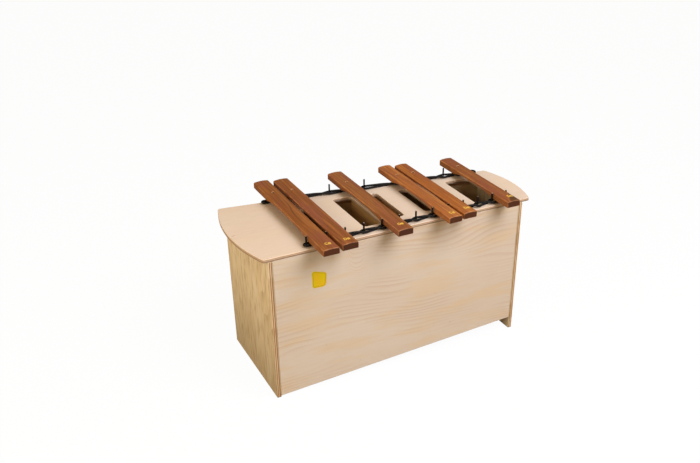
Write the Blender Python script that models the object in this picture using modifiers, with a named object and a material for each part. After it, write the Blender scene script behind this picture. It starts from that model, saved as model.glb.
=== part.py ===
"""Bass xylophone in its chromatic form: six rosewood bars lie on cords over a tapered plywood box.

Units are metres. +X runs to the treble end, +Y to the back and +Z up. The origin is on the floor, below
the middle of the top plate and of the longest bar.
"""

import math

import bmesh
import bpy
from mathutils import Matrix, Vector

# Box
BOX_WIDTH = 0.940
BASS_DEPTH = 0.397
TREBLE_DEPTH = 0.263
TOP_HEIGHT = 0.521
END_PANEL = 0.015
PANEL = 0.012
FLOOR_BOARD = 0.009
PARTITION = 0.009
BASS_CLEARANCE = 0.004
TREBLE_CLEARANCE = 0.047

# Top plate, with its ends bulging past the end panels
PLATE = 0.012
BASS_OVERHANG = 0.015
BASS_BULGE = 0.038
TREBLE_OVERHANG = 0.026
TREBLE_BULGE = 0.027
BACK_LIP = 0.018
PLATE_CORNER = 0.006
BULGE_STEPS = 14

# Sound holes: place counted in bar slots, width, and how far in from the plate's front and back edge
SOUND_HOLES = (
    (1.57, 0.0690, 0.0690, 0.103),
    (4.36, 0.0685, 0.0605, 0.058),
    (5.85, 0.0635, 0.0765, 0.062),
    (7.87, 0.0360, 0.0690, 0.065),
    (11.52, 0.0945, 0.0440, 0.049),
)
HOLE_CORNER = 0.014

# Rows of pins
SLOTS = 12
ROW_END = 0.0593
BASS_PITCH = 0.0676
TREBLE_PITCH = 0.0564
FRONT_ROW_INSET = 0.0205
REAR_ROW_INSET = 0.0142
PIN_HEIGHT = 0.0385
PIN_EMBED = 0.026
NAIL_DIAMETER = 0.0032
NAIL_POINT = 0.005
SLEEVE_WALL = 0.0010
SLEEVE_SHORT = 0.003
REAR_PIN_DIAMETER = 0.0056
PIN_DOME = 0.0012
EMPTY_SLOTS_WITH_PIN = (4, 6, 11)
FRONT_RAIL_DEPTH = 0.018
RAIL_HEIGHT = 0.022
RAIL_SETBACK = 0.002

# Bars, tuned by an undercut that gets slightly shallower towards the treble
LOW_C_SHARP_LENGTH = 0.585
LOW_D_SHARP_LENGTH = 0.561
LOW_G_SHARP_LENGTH = 0.522
HIGH_C_SHARP_LENGTH = 0.489
HIGH_D_SHARP_LENGTH = 0.467
HIGH_G_SHARP_LENGTH = 0.432
BASS_UNDERCUT = 0.0140
TREBLE_UNDERCUT = 0.0135
LOW_BAR_WIDTH = 0.055
HIGH_BAR_WIDTH = 0.050
BAR_CROWN = 0.024
BAR_EDGE = 0.0212
BAR_SHOULDER = 0.0045
BAR_BORE = 0.009
BAR_ROUND = 0.0016
UNDERCUT_MARGIN = 0.010
UNDERCUT_POWER = 3.5
UNDERCUT_STEPS = 16
CROWN_STEPS = 6
SHOULDER_STEPS = 3

# Each bar's slot, length and width
BARS = {
    "low_c_sharp_bar": (1, LOW_C_SHARP_LENGTH, LOW_BAR_WIDTH),
    "low_d_sharp_bar": (2, LOW_D_SHARP_LENGTH, LOW_BAR_WIDTH),
    "low_g_sharp_bar": (5, LOW_G_SHARP_LENGTH, LOW_BAR_WIDTH),
    "high_c_sharp_bar": (8, HIGH_C_SHARP_LENGTH, HIGH_BAR_WIDTH),
    "high_d_sharp_bar": (9, HIGH_D_SHARP_LENGTH, HIGH_BAR_WIDTH),
    "high_g_sharp_bar": (12, HIGH_G_SHARP_LENGTH, HIGH_BAR_WIDTH),
}

# Suspension cords, two strands that cross between the pins
CORD_DIAMETER = 0.0065
STRAND_GAP = 0.0006
EYE_HALF_WIDTH = 0.0076
SPAN_STEPS = 6
TURN_STEPS = 6
BASS_HOOK_OFFSET = 0.033
TREBLE_HOOK_OFFSET = 0.057
HOOK_SHANK = 0.004
HOOK_HEAD = 0.011
HOOK_HEAD_HEIGHT = 0.003

# Fits
JOINT_GAP = 0.0003
EDGE_ROUND = 0.0010
SHARP_ANGLE = math.radians(40)
CORNER_STEPS = 4
ROUND_SIDES = 10
CUT_OVERRUN = 0.004
MERGE = 0.000001

# Places that follow from the sizes
HALF_WIDTH = BOX_WIDTH / 2
INNER_HALF = HALF_WIDTH - END_PANEL - JOINT_GAP
FRONT_Y = -BASS_DEPTH / 2
FRONT_ROW_Y = FRONT_Y + FRONT_ROW_INSET
ROW_START_X = HALF_WIDTH - ROW_END - SLOTS * (BASS_PITCH + TREBLE_PITCH) / 2
LEAN = (TREBLE_DEPTH - BASS_DEPTH) / BOX_WIDTH
RISE = (TREBLE_CLEARANCE - BASS_CLEARANCE) / (2 * INNER_HALF)
PLATE_UNDERSIDE = TOP_HEIGHT - PLATE
PANEL_TOP = PLATE_UNDERSIDE - JOINT_GAP
BAR_SEAT = 2 * CORD_DIAMETER + STRAND_GAP + 2 * JOINT_GAP
STRAND_REACH = (CORD_DIAMETER + STRAND_GAP) / 2
CORD_LEVEL = TOP_HEIGHT + JOINT_GAP + CORD_DIAMETER / 2 + STRAND_REACH
SLANT = math.hypot(1, LEAN)
UPRIGHT = Matrix.Rotation(math.radians(90), 4, "X")
SIDEWAYS = Matrix(((0, 0, 1, 0), (1, 0, 0, 0), (0, 1, 0, 0), (0, 0, 0, 1)))


def back_face(x):
    """Y of the back panel's outer face at this X."""
    return FRONT_Y + BASS_DEPTH + LEAN * (x + HALF_WIDTH)


def plate_back(x):
    """Y of the top plate's back edge at this X."""
    return back_face(x) + BACK_LIP


def rear_row(x):
    """Y of the rear row of pins at this X."""
    return plate_back(x) - REAR_ROW_INSET


def lower_edge(x):
    """Z of the lower edge of the front and back panels at this X."""
    return BASS_CLEARANCE + RISE * (x + INNER_HALF)


def row_x(place):
    """X along a row: pin number from 0, with the pitch shrinking evenly towards the treble."""
    shrink = (TREBLE_PITCH - BASS_PITCH) / (SLOTS - 1)
    return ROW_START_X + place * BASS_PITCH + shrink * place * (place - 1) / 2


def slot_x(slot):
    """X of the middle of a bar slot, counted from 1."""
    return row_x(slot - 0.5)


def undercut(slot):
    """Depth of the tuning undercut of a bar in this slot."""
    return BASS_UNDERCUT + (TREBLE_UNDERCUT - BASS_UNDERCUT) * (slot - 1) / (SLOTS - 1)


def collection(name):
    """A new collection in the scene."""
    made = bpy.data.collections.new(name)
    bpy.context.scene.collection.children.link(made)
    return made


def finish(name, colour, roughness, metallic=0.0):
    """A plain Principled material."""
    material = bpy.data.materials.new(name)
    material.use_nodes = True
    shader = material.node_tree.nodes["Principled BSDF"]
    shader.inputs["Base Color"].default_value = (*colour, 1.0)
    shader.inputs["Roughness"].default_value = roughness
    shader.inputs["Metallic"].default_value = metallic
    return material


def add_object(name, data, material):
    """A new object among the parts."""
    made = bpy.data.objects.new(name, data)
    PARTS.objects.link(made)
    if material:
        data.materials.append(material)
    return made


def as_cutter(obj):
    """Moves a shape from the parts to the cutters."""
    PARTS.objects.unlink(obj)
    CUTTERS.objects.link(obj)
    obj.hide_render = True
    obj.display_type = "WIRE"
    return obj


def cut(obj, cutter):
    """Takes the cutter's shape out of the object."""
    boolean = obj.modifiers.new(cutter.name, "BOOLEAN")
    boolean.operation = "DIFFERENCE"
    boolean.object = cutter


def soften(obj, width):
    """Rounds the sharp edges."""
    bevel = obj.modifiers.new("edges", "BEVEL")
    bevel.width = width
    bevel.segments = 1
    bevel.limit_method = "ANGLE"
    bevel.angle_limit = SHARP_ANGLE


def extruded(name, loops, thickness, material, turn=None):
    """A flat outline, with its holes, drawn out by a thickness evenly to both sides of its plane."""
    curve = bpy.data.curves.new(name, "CURVE")
    curve.dimensions = "2D"
    curve.fill_mode = "BOTH"
    curve.extrude = thickness / 2
    for loop in loops:
        spline = curve.splines.new("POLY")
        spline.points.add(len(loop) - 1)
        spline.use_cyclic_u = True
        for point, (across, up) in zip(spline.points, loop):
            point.co = (across, up, 0, 1)
    drawn = add_object(name + "_outline", curve, None)
    graph = bpy.context.evaluated_depsgraph_get()
    mesh = bpy.data.meshes.new_from_object(drawn.evaluated_get(graph))
    bpy.data.objects.remove(drawn)
    mesh.name = name
    shape = bmesh.new()
    shape.from_mesh(mesh)
    bmesh.ops.remove_doubles(shape, verts=shape.verts, dist=MERGE)
    shape.to_mesh(mesh)
    shape.free()
    if turn:
        mesh.transform(turn)
    return add_object(name, mesh, material)


def block(name, low, high, material):
    """A box between two corners."""
    size = [b - a for a, b in zip(low, high)]
    middle = [(a + b) / 2 for a, b in zip(low, high)]
    mesh = bpy.data.meshes.new(name)
    shape = bmesh.new()
    bmesh.ops.create_cube(shape, size=1.0, matrix=Matrix.Diagonal((*size, 1.0)))
    shape.to_mesh(mesh)
    shape.free()
    made = add_object(name, mesh, material)
    made.location = middle
    return made


def bores(name, places, radius, bottom, top):
    """Upright round cutters at these places."""
    mesh = bpy.data.meshes.new(name)
    shape = bmesh.new()
    wide = radius / math.cos(math.pi / ROUND_SIDES)
    for x, y in places:
        bmesh.ops.create_cone(
            shape,
            cap_ends=True,
            segments=ROUND_SIDES,
            radius1=wide,
            radius2=wide,
            depth=top - bottom,
            matrix=Matrix.Translation((x, y, (bottom + top) / 2)),
        )
    shape.to_mesh(mesh)
    shape.free()
    return as_cutter(add_object(name, mesh, None))


def turned(name, profile, closed, material, place):
    """A profile of radius and height, from top to bottom on its outer side, turned round its axis."""
    mesh = bpy.data.meshes.new(name)
    last = len(profile) - 1
    edges = [(i, i + 1) for i in range(last)]
    if closed:
        edges.append((last, 0))
    mesh.from_pydata([(radius, 0, height) for radius, height in profile], edges, [])
    made = add_object(name, mesh, material)
    made.location = place
    screw = made.modifiers.new("turned", "SCREW")
    screw.axis = "Z"
    screw.steps = ROUND_SIDES
    screw.render_steps = ROUND_SIDES
    screw.use_merge_vertices = True
    screw.merge_threshold = MERGE
    return made


def rounded(corners, radius):
    """An outline whose marked corners are arcs. A corner is X, Y and whether it is rounded."""
    outline = []
    for i, (x, y, is_round) in enumerate(corners):
        here = Vector((x, y))
        if not is_round:
            outline.append(tuple(here))
            continue
        to_last = (Vector(corners[i - 1][:2]) - here).normalized()
        to_next = (Vector(corners[(i + 1) % len(corners)][:2]) - here).normalized()
        half = to_last.angle(to_next) / 2
        middle = here + (to_last + to_next).normalized() * radius / math.sin(half)
        start = here + to_last * radius / math.tan(half) - middle
        sweep = start.angle_signed(here + to_next * radius / math.tan(half) - middle)
        for step in range(CORNER_STEPS + 1):
            turn = Matrix.Rotation(-sweep * step / CORNER_STEPS, 2)
            outline.append(tuple(middle + turn @ start))
    return outline


def bulge(start, end, height):
    """Points of the arc from start to end that rises by a height to the right of that line."""
    start, end = Vector(start), Vector(end)
    chord = end - start
    radius = (chord.length**2 / 4 + height**2) / (2 * height)
    out = Vector((chord.y, -chord.x)).normalized()
    middle = (start + end) / 2 - out * (radius - height)
    half = math.asin(chord.length / 2 / radius)
    points = []
    for step in range(1, BULGE_STEPS):
        angle = half * (2 * step / BULGE_STEPS - 1)
        points.append(middle + radius * (out * math.cos(angle) + chord.normalized() * math.sin(angle)))
    return [(point.x, point.y, False) for point in points]


def plate_outline():
    """The top plate's edge, anticlockwise from the front corner at the bass end."""
    left = -HALF_WIDTH - BASS_OVERHANG
    right = HALF_WIDTH + TREBLE_OVERHANG
    front_right, back_right = (right, FRONT_Y), (right, plate_back(right))
    back_left, front_left = (left, plate_back(left)), (left, FRONT_Y)
    corners = [(*front_left, True), (*front_right, True)]
    corners += bulge(front_right, back_right, TREBLE_BULGE)
    corners += [(*back_right, True), (*back_left, True)]
    corners += bulge(back_left, front_left, BASS_BULGE)
    return rounded(corners, PLATE_CORNER)


def hole_edges(hole):
    """Left and right X of a sound hole."""
    slot, width = hole[:2]
    return slot_x(slot) - width / 2, slot_x(slot) + width / 2


def hole_outline(hole):
    """A sound hole with its back edge along the plate's slanted back."""
    left, right = hole_edges(hole)
    front_inset, back_inset = hole[2:]
    front = FRONT_Y + front_inset
    corners = (
        (left, front, True),
        (right, front, True),
        (right, plate_back(right) - back_inset, True),
        (left, plate_back(left) - back_inset, True),
    )
    return rounded(corners, HOLE_CORNER)


def front_places():
    """X and Y of each front pin, one on either side of every slot."""
    return [(row_x(i), FRONT_ROW_Y) for i in range(SLOTS + 1)]


def rear_places():
    """X and Y of each rear pin, in the middle of its slot."""
    slots = sorted([slot for slot, _, _ in BARS.values()] + list(EMPTY_SLOTS_WITH_PIN))
    return [(slot_x(slot), rear_row(slot_x(slot))) for slot in slots]


def hook_places():
    """X and Y of the two hooks that hold the ends of the rear cord."""
    pins = rear_places()
    ends = (pins[0][0] - BASS_HOOK_OFFSET, pins[-1][0] + TREBLE_HOOK_OFFSET)
    return [(x, rear_row(x)) for x in ends]


def make_top_plate(bore_cutters):
    """The sound board, with its holes and the bores that the pins and hooks go through."""
    loops = [plate_outline()] + [hole_outline(hole) for hole in SOUND_HOLES]
    plate = extruded("top_plate", loops, PLATE, BIRCH)
    plate.location.z = TOP_HEIGHT - PLATE / 2
    soften(plate, EDGE_ROUND)
    for cutter in bore_cutters:
        cut(plate, cutter)


def make_end_panels():
    """The two end panels, which run down to the floor as feet."""
    for name, side in (("bass_end_panel", -1), ("treble_end_panel", 1)):
        outer, inner = side * HALF_WIDTH, side * (HALF_WIDTH - END_PANEL)
        left, right = sorted((outer, inner))
        back = min(back_face(left), back_face(right))
        soften(block(name, (left, FRONT_Y, 0), (right, back, PANEL_TOP), PINE), EDGE_ROUND)


def upright_board(name, bottom, top, front, depth, lean, material):
    """A board between the end panels. bottom is a function of X, and lean slants it in plan."""
    outline = [
        (-INNER_HALF, bottom(-INNER_HALF)),
        (INNER_HALF, bottom(INNER_HALF)),
        (INNER_HALF, top),
        (-INNER_HALF, top),
    ]
    board = extruded(name, [outline], depth, material, UPRIGHT)
    slant = Matrix.Identity(4)
    slant[1][0] = lean
    board.data.transform(slant)
    board.location.y = front + depth / 2
    return board


def make_walls():
    """The front and back panels between the end panels, with their sloping lower edges."""
    front = upright_board("front_panel", lower_edge, PANEL_TOP, FRONT_Y, PANEL, 0, PINE)
    soften(front, EDGE_ROUND)
    rail_bottom = PANEL_TOP - RAIL_HEIGHT - JOINT_GAP
    depth = PANEL * SLANT
    upright_board("back_panel", lower_edge, rail_bottom, back_face(0) - depth, depth, LEAN, PINE)


def make_rails(nail_bores, pin_bores, hook_bores):
    """The hardwood rails under the plate that the pins and hooks are driven into."""

    def underside(_):
        return PANEL_TOP - RAIL_HEIGHT

    front = FRONT_Y + PANEL + JOINT_GAP
    rail = upright_board("front_pin_rail", underside, PANEL_TOP, front, FRONT_RAIL_DEPTH, 0, BEECH)
    cut(rail, nail_bores)
    inside = back_face(0) - PANEL * SLANT
    depth = plate_back(0) - RAIL_SETBACK - inside
    rail = upright_board("rear_pin_rail", underside, PANEL_TOP, inside, depth, LEAN, BEECH)
    cut(rail, pin_bores)
    cut(rail, hook_bores)


def make_floor_board():
    """The resonator's floor, which rises towards the treble."""
    front = FRONT_Y + PANEL + JOINT_GAP
    inset = PANEL * SLANT + JOINT_GAP
    outline = [
        (-INNER_HALF, front),
        (INNER_HALF, front),
        (INNER_HALF, back_face(INNER_HALF) - inset),
        (-INNER_HALF, back_face(-INNER_HALF) - inset),
    ]
    board = extruded("floor_board", [outline], FLOOR_BOARD, PINE)
    slope = Matrix.Identity(4)
    slope[2][0] = RISE
    board.data.transform(slope)
    board.location.z = lower_edge(0) + FLOOR_BOARD / 2


def make_partitions():
    """Walls between the chambers, notched round the front rail, midway between neighbouring holes."""
    edges = [hole_edges(hole) for hole in SOUND_HOLES]
    front = FRONT_Y + PANEL + JOINT_GAP
    notch_low = (-HALF_WIDTH, front - CUT_OVERRUN, PANEL_TOP - RAIL_HEIGHT - JOINT_GAP)
    notch_high = (HALF_WIDTH, front + FRONT_RAIL_DEPTH + JOINT_GAP, TOP_HEIGHT)
    notch = as_cutter(block("rail_notch", notch_low, notch_high, None))
    for number in range(1, len(edges)):
        middle = (edges[number - 1][1] + edges[number][0]) / 2
        left, right = middle - PARTITION / 2, middle + PARTITION / 2
        back = back_face(right) - PANEL * SLANT - JOINT_GAP
        bottom = lower_edge(right) + FLOOR_BOARD + JOINT_GAP
        wall = block(f"partition_{number}", (left, front, bottom), (right, back, PANEL_TOP), PINE)
        cut(wall, notch)


def make_front_pins():
    """Steel nails between the slots, each in a rubber sleeve that leaves its tip bare."""
    radius = NAIL_DIAMETER / 2
    nail = (
        (0, PIN_HEIGHT),
        (radius - PIN_DOME, PIN_HEIGHT),
        (radius, PIN_HEIGHT - PIN_DOME),
        (radius, NAIL_POINT - PIN_EMBED),
        (0, -PIN_EMBED),
    )
    inner = radius + JOINT_GAP
    outer = inner + SLEEVE_WALL
    top = PIN_HEIGHT - SLEEVE_SHORT
    sleeve = ((inner, top), (outer, top), (outer, JOINT_GAP), (inner, JOINT_GAP))
    for number, (x, y) in enumerate(front_places(), 1):
        place = (x, y, TOP_HEIGHT)
        turned(f"front_pin_{number:02}", nail, False, STEEL, place)
        turned(f"front_pin_sleeve_{number:02}", sleeve, True, RUBBER, place)


def make_rear_pins():
    """Coated pins that hold the bars, and the bare slots' own pins."""
    radius = REAR_PIN_DIAMETER / 2
    pin = (
        (0, PIN_HEIGHT),
        (radius - PIN_DOME, PIN_HEIGHT),
        (radius, PIN_HEIGHT - PIN_DOME),
        (radius, -PIN_EMBED),
        (0, -PIN_EMBED),
    )
    for number, (x, y) in enumerate(rear_places(), 1):
        turned(f"rear_pin_{number:02}", pin, False, RUBBER, (x, y, TOP_HEIGHT))


def make_hooks():
    """Headed screws that the rear cord's two ends loop round."""
    shank, head = HOOK_SHANK / 2, HOOK_HEAD / 2
    under = CORD_LEVEL - TOP_HEIGHT + CORD_DIAMETER / 2 + JOINT_GAP
    top = under + HOOK_HEAD_HEIGHT
    screw = (
        (0, top),
        (head - PIN_DOME, top),
        (head, top - PIN_DOME),
        (head, under),
        (shank, under),
        (shank, NAIL_POINT - PIN_EMBED),
        (0, -PIN_EMBED),
    )
    for name, (x, y) in zip(("bass_cord_hook", "treble_cord_hook"), hook_places()):
        turned(name, screw, False, BLACK_STEEL, (x, y, TOP_HEIGHT))


def crown_outline(width):
    """A bar's cross-section: flat below, upright sides, rounded shoulders and a shallow crown."""
    half = width / 2
    rise = (BAR_CROWN - BAR_EDGE) / half**2
    slope = math.atan(2 * rise * (half - BAR_SHOULDER))
    meet = half - BAR_SHOULDER * (1 - math.sin(slope))
    middle_x = half - BAR_SHOULDER
    middle_z = BAR_CROWN - rise * meet**2 - BAR_SHOULDER * math.cos(slope)
    shoulder = []
    for step in range(SHOULDER_STEPS):
        turn = (math.pi / 2 - slope) * step / SHOULDER_STEPS
        shoulder.append((middle_x + BAR_SHOULDER * math.cos(turn), middle_z + BAR_SHOULDER * math.sin(turn)))
    crown = []
    for step in range(CROWN_STEPS + 1):
        x = meet * (1 - 2 * step / CROWN_STEPS)
        crown.append((x, BAR_CROWN - rise * x**2))
    return [(-half, 0), (half, 0)] + shoulder + crown + [(-x, z) for x, z in reversed(shoulder)]


def undercut_outline(half_length, depth):
    """The arch tuned out of a bar's underside, as distance along the bar and height."""
    outline = []
    for step in range(UNDERCUT_STEPS + 1):
        share = math.cos(math.pi * step / UNDERCUT_STEPS)
        outline.append((half_length * share, depth * (1 - abs(share) ** UNDERCUT_POWER)))
    return outline + [(-half_length, -CUT_OVERRUN), (half_length, -CUT_OVERRUN)]


def make_bars():
    """The bars. Each one's origin is on the axis of its rear pin, level with its underside."""
    for name, (slot, length, width) in BARS.items():
        x = slot_x(slot)
        place = Vector((x, rear_row(x), TOP_HEIGHT + BAR_SEAT))
        to_middle = (FRONT_ROW_Y - place.y) / 2
        shift = Matrix.Translation((0, to_middle, 0))
        bar = extruded(name, [crown_outline(width)], length, ROSEWOOD, shift @ UPRIGHT)
        bar.location = place
        soften(bar, BAR_ROUND)
        arch = undercut_outline(-to_middle - UNDERCUT_MARGIN, undercut(slot))
        wide = width + 2 * CUT_OVERRUN
        arch_cutter = extruded(name + "_arch", [arch], wide, None, shift @ SIDEWAYS)
        arch_cutter.location = place
        cut(bar, as_cutter(arch_cutter))
        top = place.z + BAR_CROWN + CUT_OVERRUN
        hole = [(place.x, place.y)]
        cut(bar, bores(name + "_bore", hole, BAR_BORE / 2, place.z - CUT_OVERRUN, top))


def cord_loop(stations):
    """Points of a closed cord that passes either side of each station and crosses between them.

    Along a span the two strands turn round each other by half a turn: the distance to the side falls as
    a cosine while the height rises as a sine, and the other strand is opposite.
    """
    across = Vector((0, 0, 1)).cross((stations[-1] - stations[0]).normalized())
    along = across.cross(Vector((0, 0, 1)))
    spans = len(stations) - 1

    def strand(place, side):
        span = min(int(place), spans - 1)
        on_row = stations[span].lerp(stations[span + 1], place - span)
        turn = math.pi * place
        lift = Vector((0, 0, STRAND_REACH * math.sin(turn)))
        return on_row + side * (across * EYE_HALF_WIDTH * math.cos(turn) + lift)

    def end_turn(station, side, out):
        arc = [math.pi * step / TURN_STEPS for step in range(1, TURN_STEPS)]
        wide = EYE_HALF_WIDTH
        return [station + wide * (side * math.cos(a) * across + out * math.sin(a) * along) for a in arc]

    places = [step / SPAN_STEPS for step in range(spans * SPAN_STEPS + 1)]
    far_side = 1 if spans % 2 == 0 else -1
    points = [strand(place, 1) for place in places]
    points += end_turn(stations[-1], far_side, 1)
    points += [strand(place, -1) for place in reversed(places)]
    points += end_turn(stations[0], -1, -1)
    return points


def least_gap(points):
    """The least distance between the cord's surface and its own surface further along."""
    count = len(points)
    apart = TURN_STEPS // 2 + 1
    least = math.inf
    for i in range(count):
        for j in range(i + apart, count - max(0, apart - i)):
            least = min(least, (points[i] - points[j]).length)
    return least - CORD_DIAMETER


def make_cord(name, places):
    """One suspension cord, a closed loop along a row."""
    points = cord_loop([Vector((x, y, CORD_LEVEL)) for x, y in places])
    curve = bpy.data.curves.new(name, "CURVE")
    curve.dimensions = "3D"
    curve.bevel_depth = CORD_DIAMETER / 2
    curve.bevel_resolution = 1
    spline = curve.splines.new("POLY")
    spline.points.add(len(points) - 1)
    spline.use_cyclic_u = True
    for point, co in zip(spline.points, points):
        point.co = (*co, 1)
    add_object(name, curve, CORD)
    print(f"{name}: least gap to itself {least_gap(points) * 1000:.2f} mm")


def make_pin_bores():
    """Cutters for the bores of the nails, and of the rear pins and hooks."""
    bottom = TOP_HEIGHT - PIN_EMBED - JOINT_GAP
    top = TOP_HEIGHT + CUT_OVERRUN
    nail_bores = bores("nail_bores", front_places(), NAIL_DIAMETER / 2 + JOINT_GAP, bottom, top)
    pin_bores = bores("pin_bores", rear_places(), REAR_PIN_DIAMETER / 2 + JOINT_GAP, bottom, top)
    hook_bores = bores("hook_bores", hook_places(), HOOK_SHANK / 2 + JOINT_GAP, bottom, top)
    return nail_bores, pin_bores, hook_bores


for old in list(bpy.data.objects):
    bpy.data.objects.remove(old)

PARTS = collection("bass_xylophone")
CUTTERS = collection("cutters")

BIRCH = finish("birch_plate", (0.76, 0.58, 0.42), 0.55)
PINE = finish("pine_plywood", (0.67, 0.49, 0.33), 0.60)
BEECH = finish("beech_rail", (0.55, 0.36, 0.22), 0.60)
ROSEWOOD = finish("rosewood_bar", (0.30, 0.10, 0.045), 0.40)
STEEL = finish("nail_steel", (0.62, 0.60, 0.57), 0.35, 1.0)
BLACK_STEEL = finish("hook_steel", (0.03, 0.03, 0.03), 0.40, 1.0)
RUBBER = finish("sleeve_rubber", (0.012, 0.012, 0.012), 0.55)
CORD = finish("cord_black", (0.010, 0.010, 0.011), 0.80)

all_bores = make_pin_bores()
make_top_plate(all_bores)
make_end_panels()
make_walls()
make_rails(*all_bores)
make_floor_board()
make_partitions()
make_front_pins()
make_rear_pins()
make_hooks()
make_bars()
make_cord("front_cord", front_places())
bass_hook, treble_hook = hook_places()
make_cord("rear_cord", [bass_hook, *rear_places(), treble_hook])
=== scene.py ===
"""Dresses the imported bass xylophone: plywood box, rosewood bars, pins and cords, with its studio.

Units are metres. +X runs to the treble end, +Y to the back and +Z up.
"""

import logging
import math
from dataclasses import dataclass, field
from enum import Enum

import bpy
import numpy as np
from mathutils import Matrix, Vector
from mathutils.geometry import tessellate_polygon
from numpy.typing import NDArray


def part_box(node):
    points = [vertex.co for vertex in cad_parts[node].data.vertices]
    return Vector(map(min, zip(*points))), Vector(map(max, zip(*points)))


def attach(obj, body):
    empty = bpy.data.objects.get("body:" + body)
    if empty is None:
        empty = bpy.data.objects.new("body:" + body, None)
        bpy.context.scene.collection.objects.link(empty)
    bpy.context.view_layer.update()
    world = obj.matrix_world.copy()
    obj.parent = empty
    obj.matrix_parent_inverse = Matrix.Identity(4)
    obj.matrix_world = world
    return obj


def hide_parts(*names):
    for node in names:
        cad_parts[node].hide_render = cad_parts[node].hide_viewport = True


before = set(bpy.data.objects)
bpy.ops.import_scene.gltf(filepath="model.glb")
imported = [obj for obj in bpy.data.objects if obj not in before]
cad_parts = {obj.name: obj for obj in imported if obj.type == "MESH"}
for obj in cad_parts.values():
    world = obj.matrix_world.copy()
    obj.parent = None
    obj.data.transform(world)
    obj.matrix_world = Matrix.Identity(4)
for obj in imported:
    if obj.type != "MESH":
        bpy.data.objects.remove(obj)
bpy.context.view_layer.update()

LOG = logging.getLogger("bass_xylophone")
BOX_BODY = "resonator_box"
JOINT_GAP = 0.0003
SLOTS = 12
FRONT_PINS = tuple(f"front_pin_{number:02}" for number in range(1, SLOTS + 2))
REAR_PINS = tuple(f"rear_pin_{number:02}" for number in range(1, 10))
HOOKS = ("bass_cord_hook", "treble_cord_hook")
PARTITIONS = tuple(f"partition_{number}" for number in range(1, 5))

Array = NDArray[np.float64]
Index = NDArray[np.int64]
Colour = tuple[float, float, float, float]
Triple = tuple[float, float, float]
Pair = tuple[float, float]
Socket = bpy.types.NodeSocket
Material = bpy.types.Material

WHITE: Colour = (1.0, 1.0, 1.0, 1.0)
NOISE_RANGE = (0.3, 0.7)
MIX_SHARE, MIX_FIRST, MIX_SECOND, MIX_RESULT = 0, 6, 7, 2


class Slot(Enum):
    """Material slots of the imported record."""

    PLATE = "birch_plate"
    PANEL = "pine_plywood"
    RAIL = "beech_rail"
    BAR = "rosewood"
    NAIL = "nail_steel"
    SLEEVE = "sleeve_rubber"
    HOOK = "hook_steel"
    CORD = "cord"


class Facing(Enum):
    """How a board's own axes lie: along its grain, across it, and out of its show face."""

    UP = ((1, 0, 0), (0, 1, 0), (0, 0, 1))
    FRONT = ((1, 0, 0), (0, 0, 1), (0, -1, 0))
    BASS = ((0, 0, 1), (0, 1, 0), (-1, 0, 0))
    TREBLE = ((0, 0, 1), (0, -1, 0), (1, 0, 0))
    INSIDE = ((0, 1, 0), (0, 0, 1), (1, 0, 0))


def seen(red: int, green: int, blue: int) -> Colour:
    """The linear colour of an sRGB colour written in 0 to 255."""
    channels = np.array([red, green, blue]) / 255
    return (*np.where(channels < 0.04, channels / 12.92, ((channels + 0.055) / 1.055) ** 2.4).tolist(), 1.0)


def unit(vectors: Array) -> Array:
    """The same directions with length one."""
    return vectors / np.linalg.norm(vectors, axis=-1, keepdims=True)


def quads_of(index: Index, close_rows: bool = False, close_columns: bool = True) -> Index:
    """Quads between the neighbours of a grid of point numbers.

    Corner (i, j) is joined to (i + 1, j), (i + 1, j + 1) and (i, j + 1). A side that closes joins its last
    row or column to the first.

    Args:
        index: Point numbers, rows by columns.
        close_rows: Whether the last row joins the first.
        close_columns: Whether the last column joins the first.

    Returns:
        The quads, rows by columns by four.
    """
    down, right = np.roll(index, -1, axis=0), np.roll(index, -1, axis=1)
    quads = np.stack([index, down, np.roll(down, -1, axis=1), right], axis=-1)
    return quads[: None if close_rows else -1, : None if close_columns else -1]


def edge_normals(loop: Array) -> tuple[Array, Array]:
    """Right-hand normals of the edges before and after each point of a closed outline.

    Args:
        loop: Points of the outline.

    Returns:
        The normals of the edges before the points, and of those after them.
    """
    along = unit(np.roll(loop, -1, axis=0) - loop)
    after = np.stack([along[:, 1], -along[:, 0]], axis=1)
    return np.roll(after, 1, axis=0), after


def mitres(loop: Array) -> Array:
    """How each point of a closed outline moves when its edges move out by one.

    With n and m the normals of the edges before and after a point, this is (n + m) / (1 + n . m).

    Args:
        loop: Points of the outline.

    Returns:
        One vector for each point.
    """
    before, after = edge_normals(loop)
    return (before + after) / (1 + np.sum(before * after, axis=1, keepdims=True))


def filleted(corners: Array, radius: Array, steps: int = 10) -> Array:
    """A closed outline whose corners are arcs.

    An arc's centre lies one radius inside both edges, and its points turn about it from the normal of the
    edge before the corner to the normal of the edge after it.

    Args:
        corners: Points of the outline.
        radius: The arc's radius at each corner, or 0 where the corner stays.
        steps: Steps along each arc.

    Returns:
        Points of the new outline.
    """
    before, after = edge_normals(corners)
    cross = before[:, 0] * after[:, 1] - before[:, 1] * after[:, 0]
    turn = np.arctan2(cross, np.sum(before * after, axis=1))
    reach = (np.sign(turn) * radius)[:, None]
    centre = corners - reach * mitres(corners)
    angle = np.arctan2(before[:, 1], before[:, 0])[:, None] + turn[:, None] * np.linspace(0, 1, steps + 1)
    arcs = centre[:, None] + reach[:, None] * np.stack([np.cos(angle), np.sin(angle)], axis=-1)
    outline = arcs.reshape(-1, 2)
    apart = np.linalg.norm(outline - np.roll(outline, 1, axis=0), axis=1)
    return outline[apart > 1e-7]


def circle(place: Array, radius: float, sides: int = 20) -> Array:
    """A clockwise circle, as the outline of a bore.

    Args:
        place: Its middle.
        radius: Its radius.
        sides: Steps round it.

    Returns:
        The outline.
    """
    turn = np.linspace(2 * np.pi, 0, sides, endpoint=False)[:, None]
    return place + radius * np.hstack([np.cos(turn), np.sin(turn)])


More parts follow.
